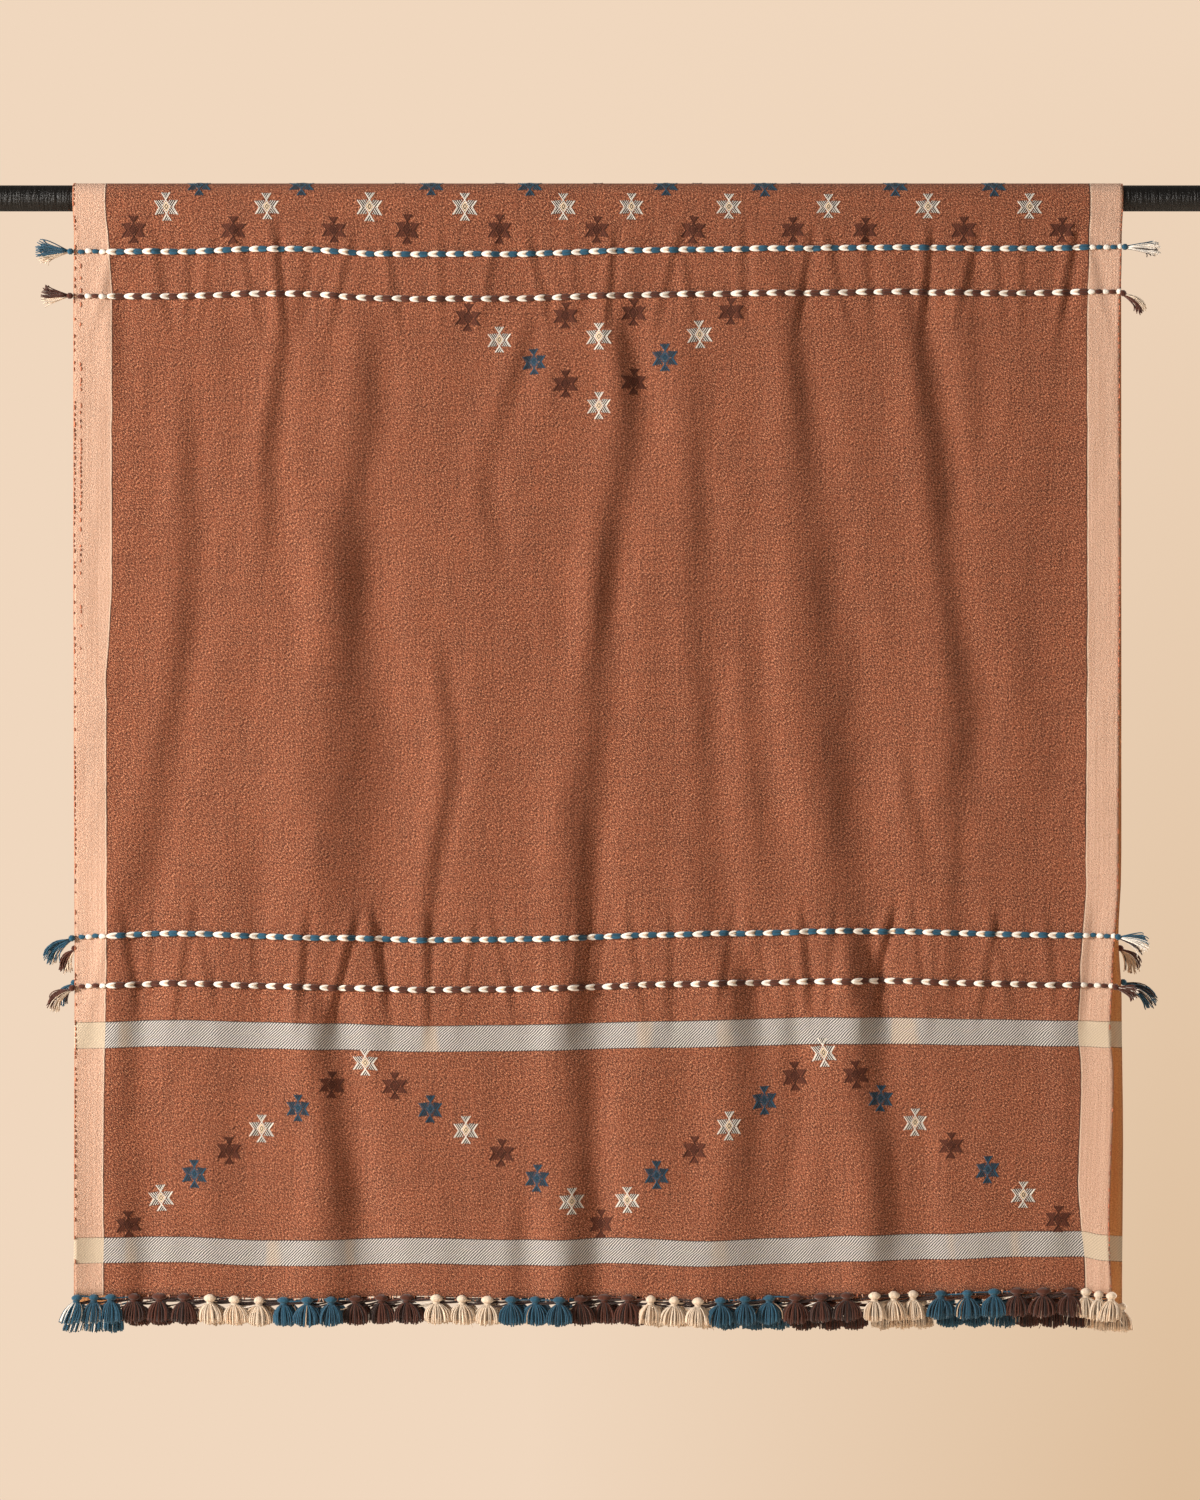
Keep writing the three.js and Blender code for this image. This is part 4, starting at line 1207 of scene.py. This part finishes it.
def make_hem(fall_name, side):
    """The tassels of one hem in threes, the loops between their heads and the loose yarn ends."""
    random = np.random.default_rng(HEM_SEEDS[side])
    hem_run = run_at(side, FALLS[side]["hem"])
    by_colour = {colour: Yarns() for colour in THREE_COLOURS}
    nodes = {colour: [] for colour in THREE_COLOURS}
    loops = Yarns()
    heads = []
    for i, (x, pitch) in enumerate(THREES):
        colour = THREE_COLOURS[i % 3]
        nodes[colour].append(f"{fall_name}_hem_tassels_{i + 1:02d}_{colour}")
        for k in (-1, 0, 1):
            across = across_at(-1, x + k * pitch, FRONT_HEM)
            hem = lay([[across, hem_run, -WALL / 2]])[0]
            half_width = min(max(pitch * 0.53, LEAST_HALF_WIDTH), MOST_HALF_WIDTH)
            half_width = half_width * about(random, 0.06)
            lean = 0.05 * random.standard_normal()
            mixed = HEADS[colour]["mixed"]
            if i == 0 and k < 1:
                # The first two, at the left corner, lean out and hold some white yarn.
                half_width, mixed = CORNER_HALF_WIDTH, ("white", 0.3)
                lean = -0.32 if k < 0 else -0.12
            add_tassel(by_colour[colour], hem, side, colour, half_width, lean, mixed, random)
            heads.append((across, hem, colour))
    for (a, hem_a, colour), (b, hem_b, _) in zip(heads, heads[1:]):
        first = "dark" if colour == "cream" else colour
        for k, name in enumerate((first, "dark", "dark", "white", "cream")):
            drop = np.array([0, side * (1.2 - 0.5 * k), -1.4 - 0.9 * k])
            sag = -(0.9 + 1.3 * k) * (0.5 + random.random())
            tint = yarn(name, about(random, 0.1))
            thick = k < 3
            if thick or random.random() < 0.3:
                radius = 1.0 if thick else 0.6
                strand(loops, hem_a + drop, hem_b + drop, sag, radius, tint, random, 9, 1.5)
        for _ in range(3):
            across = a + (b - a) * (0.25 + 0.5 * random.random())
            root = lay([[across, hem_run, -0.6]])[0]
            out = random.standard_normal() * 0.9
            tip = root + np.array([out, side * 0.8, -1.8 - 2.2 * random.random()])
            tint = yarn("rust" if random.random() < 0.6 else "peach", 1.15)
            strand(loops, root, tip, 0.0, 0.42, tint, random, 3)
    for _, hem, colour in heads[::2]:
        root = hem + np.array([random.standard_normal() * 2, side * 2.2, -7])
        out = random.standard_normal() * 8
        tip = root + np.array([out, side * 1.5, -15 - 7 * random.random()])
        strand(loops, root, tip, 0.0, 0.4, yarn(colour, 1.1), random, 6, 2.5)
    made = []
    for colour, yarns in by_colour.items():
        piece = yarns.build(f"{fall_name}_hem_yarn_{colour}")
        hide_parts(*nodes[colour])
        made.append(piece)
    piece = loops.build(f"{fall_name}_hem_loops")
    made.append(piece)
    return made


# Rows of stitches along the side edges: (end, inset from the edge, first run, last run).
STITCH_ROWS = [
    (-1, 0.2, RUNS[0], RUNS[-1]),
    (1, 0.5, RUNS[0], RUNS[-1]),
    (-1, 6.4, -460, -75),
]


def make_selvedge_stitches():
    """The uneven stitches along the two side edges."""
    random = np.random.default_rng(5)
    yarns = Yarns()
    for end, inset, low, high in STITCH_ROWS:
        run = low + 6
        while run < high - 6:
            length = 1.6 + 3.2 * random.random()
            across = end * (FLAT_WIDTH / 2 - inset - 0.9 * random.random())
            if random.random() < 0.65 + 0.35 * math.sin(run / 47 + 9 * inset):
                t = np.linspace(0, 1, 4)
                path = np.stack([
                    across + 0.3 * np.sin(t * 3),
                    run + length * t,
                    0.05 + 0.5 * np.sin(math.pi * t),
                ], axis=1)  # fmt: skip
                tint = yarn("rust", 1.1 + 0.3 * random.standard_normal())
                yarns.tube(path, 0.42 + 0.2 * random.random(), 5, tint)
            run += length + 0.8 + 2.2 * random.random()
    return yarns.build("selvedge_stitches", lay)


# The stage, in metres, and its floor in mm.
CAMERA_PLACE = (0.001, -6.01, -0.5276)
CAMERA_LENS = 150.8
AIM = (0, 0, -0.5)
# The lamps: (name, place, size, power, colour), all turned to AIM.
LAMPS = [
    ("key", (-4.2, -2.5, 0.45), 1.1, 345, (1.0, 0.955, 0.895)),
    ("fill", (1.2, -3.0, -0.2), 2.0, 4.5, (1.0, 0.95, 0.9)),
    ("back", (3.6, 2.2, 0.5), 1.1, 210, (1.0, 0.95, 0.88)),
]
# The backdrop's tone, and the darker tone it takes low on the right as painted shade.
BACKDROP_LEFT = (240, 215, 190)
BACKDROP_RIGHT = (221, 190, 156)
FLOOR_PAINT = (238, 220, 200)
FLOOR_DROP = 1400  # below the rod's axis
FLOOR_HALF = 3200
FLOOR_REACH = (-2800, 1150)  # in front of the rod and behind it


def add_lamp(name, place, size, power, colour):
    data = bpy.data.lights.new(name, "AREA")
    data.shape = "DISK"
    data.size = size
    data.energy = power
    data.color = colour
    made = bpy.data.objects.new(name, data)
    made.location = place
    aim = np.array(AIM) - np.array(place)
    made.rotation_euler = (
        math.atan2(math.hypot(aim[0], aim[1]), -aim[2]),
        0,
        math.atan2(aim[1], aim[0]) - math.pi / 2,
    )
    bpy.context.scene.collection.objects.link(made)


def make_world():
    """A pale warm backdrop with painted shade: a little darker low on the right. It lights the cloth only
    softly.
    """
    world = bpy.data.worlds.new("studio")
    bpy.context.scene.world = world
    world.use_nodes = True
    n = Nodes(world.node_tree)
    towards = n.new("SeparateXYZ", (n.new("TexCoord")["Generated"],))
    right = n.step(towards[0], -0.011, 0.09, "LINEAR")
    low = n.step(towards[2], 0.128, -0.117, "LINEAR")
    shown = n.nodes["Background"]
    tone = n.mix(n.times(right, low), linear(BACKDROP_LEFT), linear(BACKDROP_RIGHT))
    n.put(shown.inputs["Color"], tone)
    soft = n.new("Background", {"Color": (1.0, 0.9, 0.8), "Strength": 0.22})[0]
    seen = n.new("LightPath")["Is Camera Ray"]
    either = n.new("MixShader", (seen, soft, shown.outputs[0]))[0]
    n.put(n.nodes["World Output"].inputs["Surface"], either)


def make_stage():
    """The camera, the lamps and the pale floor."""
    camera = bpy.data.objects.new("camera", bpy.data.cameras.new("camera"))
    camera.data.lens = CAMERA_LENS
    camera.data.sensor_width = 36
    camera.location = CAMERA_PLACE
    camera.rotation_euler = (math.pi / 2, 0, 0)
    bpy.context.scene.collection.objects.link(camera)
    bpy.context.scene.camera = camera
    for lamp in LAMPS:
        add_lamp(*lamp)
    make_world()
    near, far = FLOOR_REACH
    ends = ((-FLOOR_HALF, near), (FLOOR_HALF, near), (FLOOR_HALF, far), (-FLOOR_HALF, far))
    corners = [(x, y, -FLOOR_DROP) for x, y in ends]
    paint = Shader("floor_paint", Roughness=0.95).finish(Base_Color=linear(FLOOR_PAINT))
    floor = make_object("floor", corners, [(0, 1, 2, 3)], paint, smooth=False)
    bpy.context.scene.view_settings.view_transform = "Standard"


def dress():
    """Makes the cloth and all that is on it."""
    cloth = make_cloth()
    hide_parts("cloth_front_fall", "cloth_over_rod", "cloth_back_fall")
    pieces = [make_motifs(), make_selvedge_stitches()]
    for k, (name, cord) in enumerate(CORDS.items()):
        random = np.random.default_rng(100 + k)
        made = [make_cord(name, cord, random), *make_end_tassels(name, cord, random)]
        pieces += made
    pieces += make_hem("front", -1) + make_hem("back", 1)
    for piece in [cloth, *pieces]:
        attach(piece, "root")


make_stage()
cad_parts["rod"].data.materials.clear()
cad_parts["rod"].data.materials.append(rod_material())
dress()
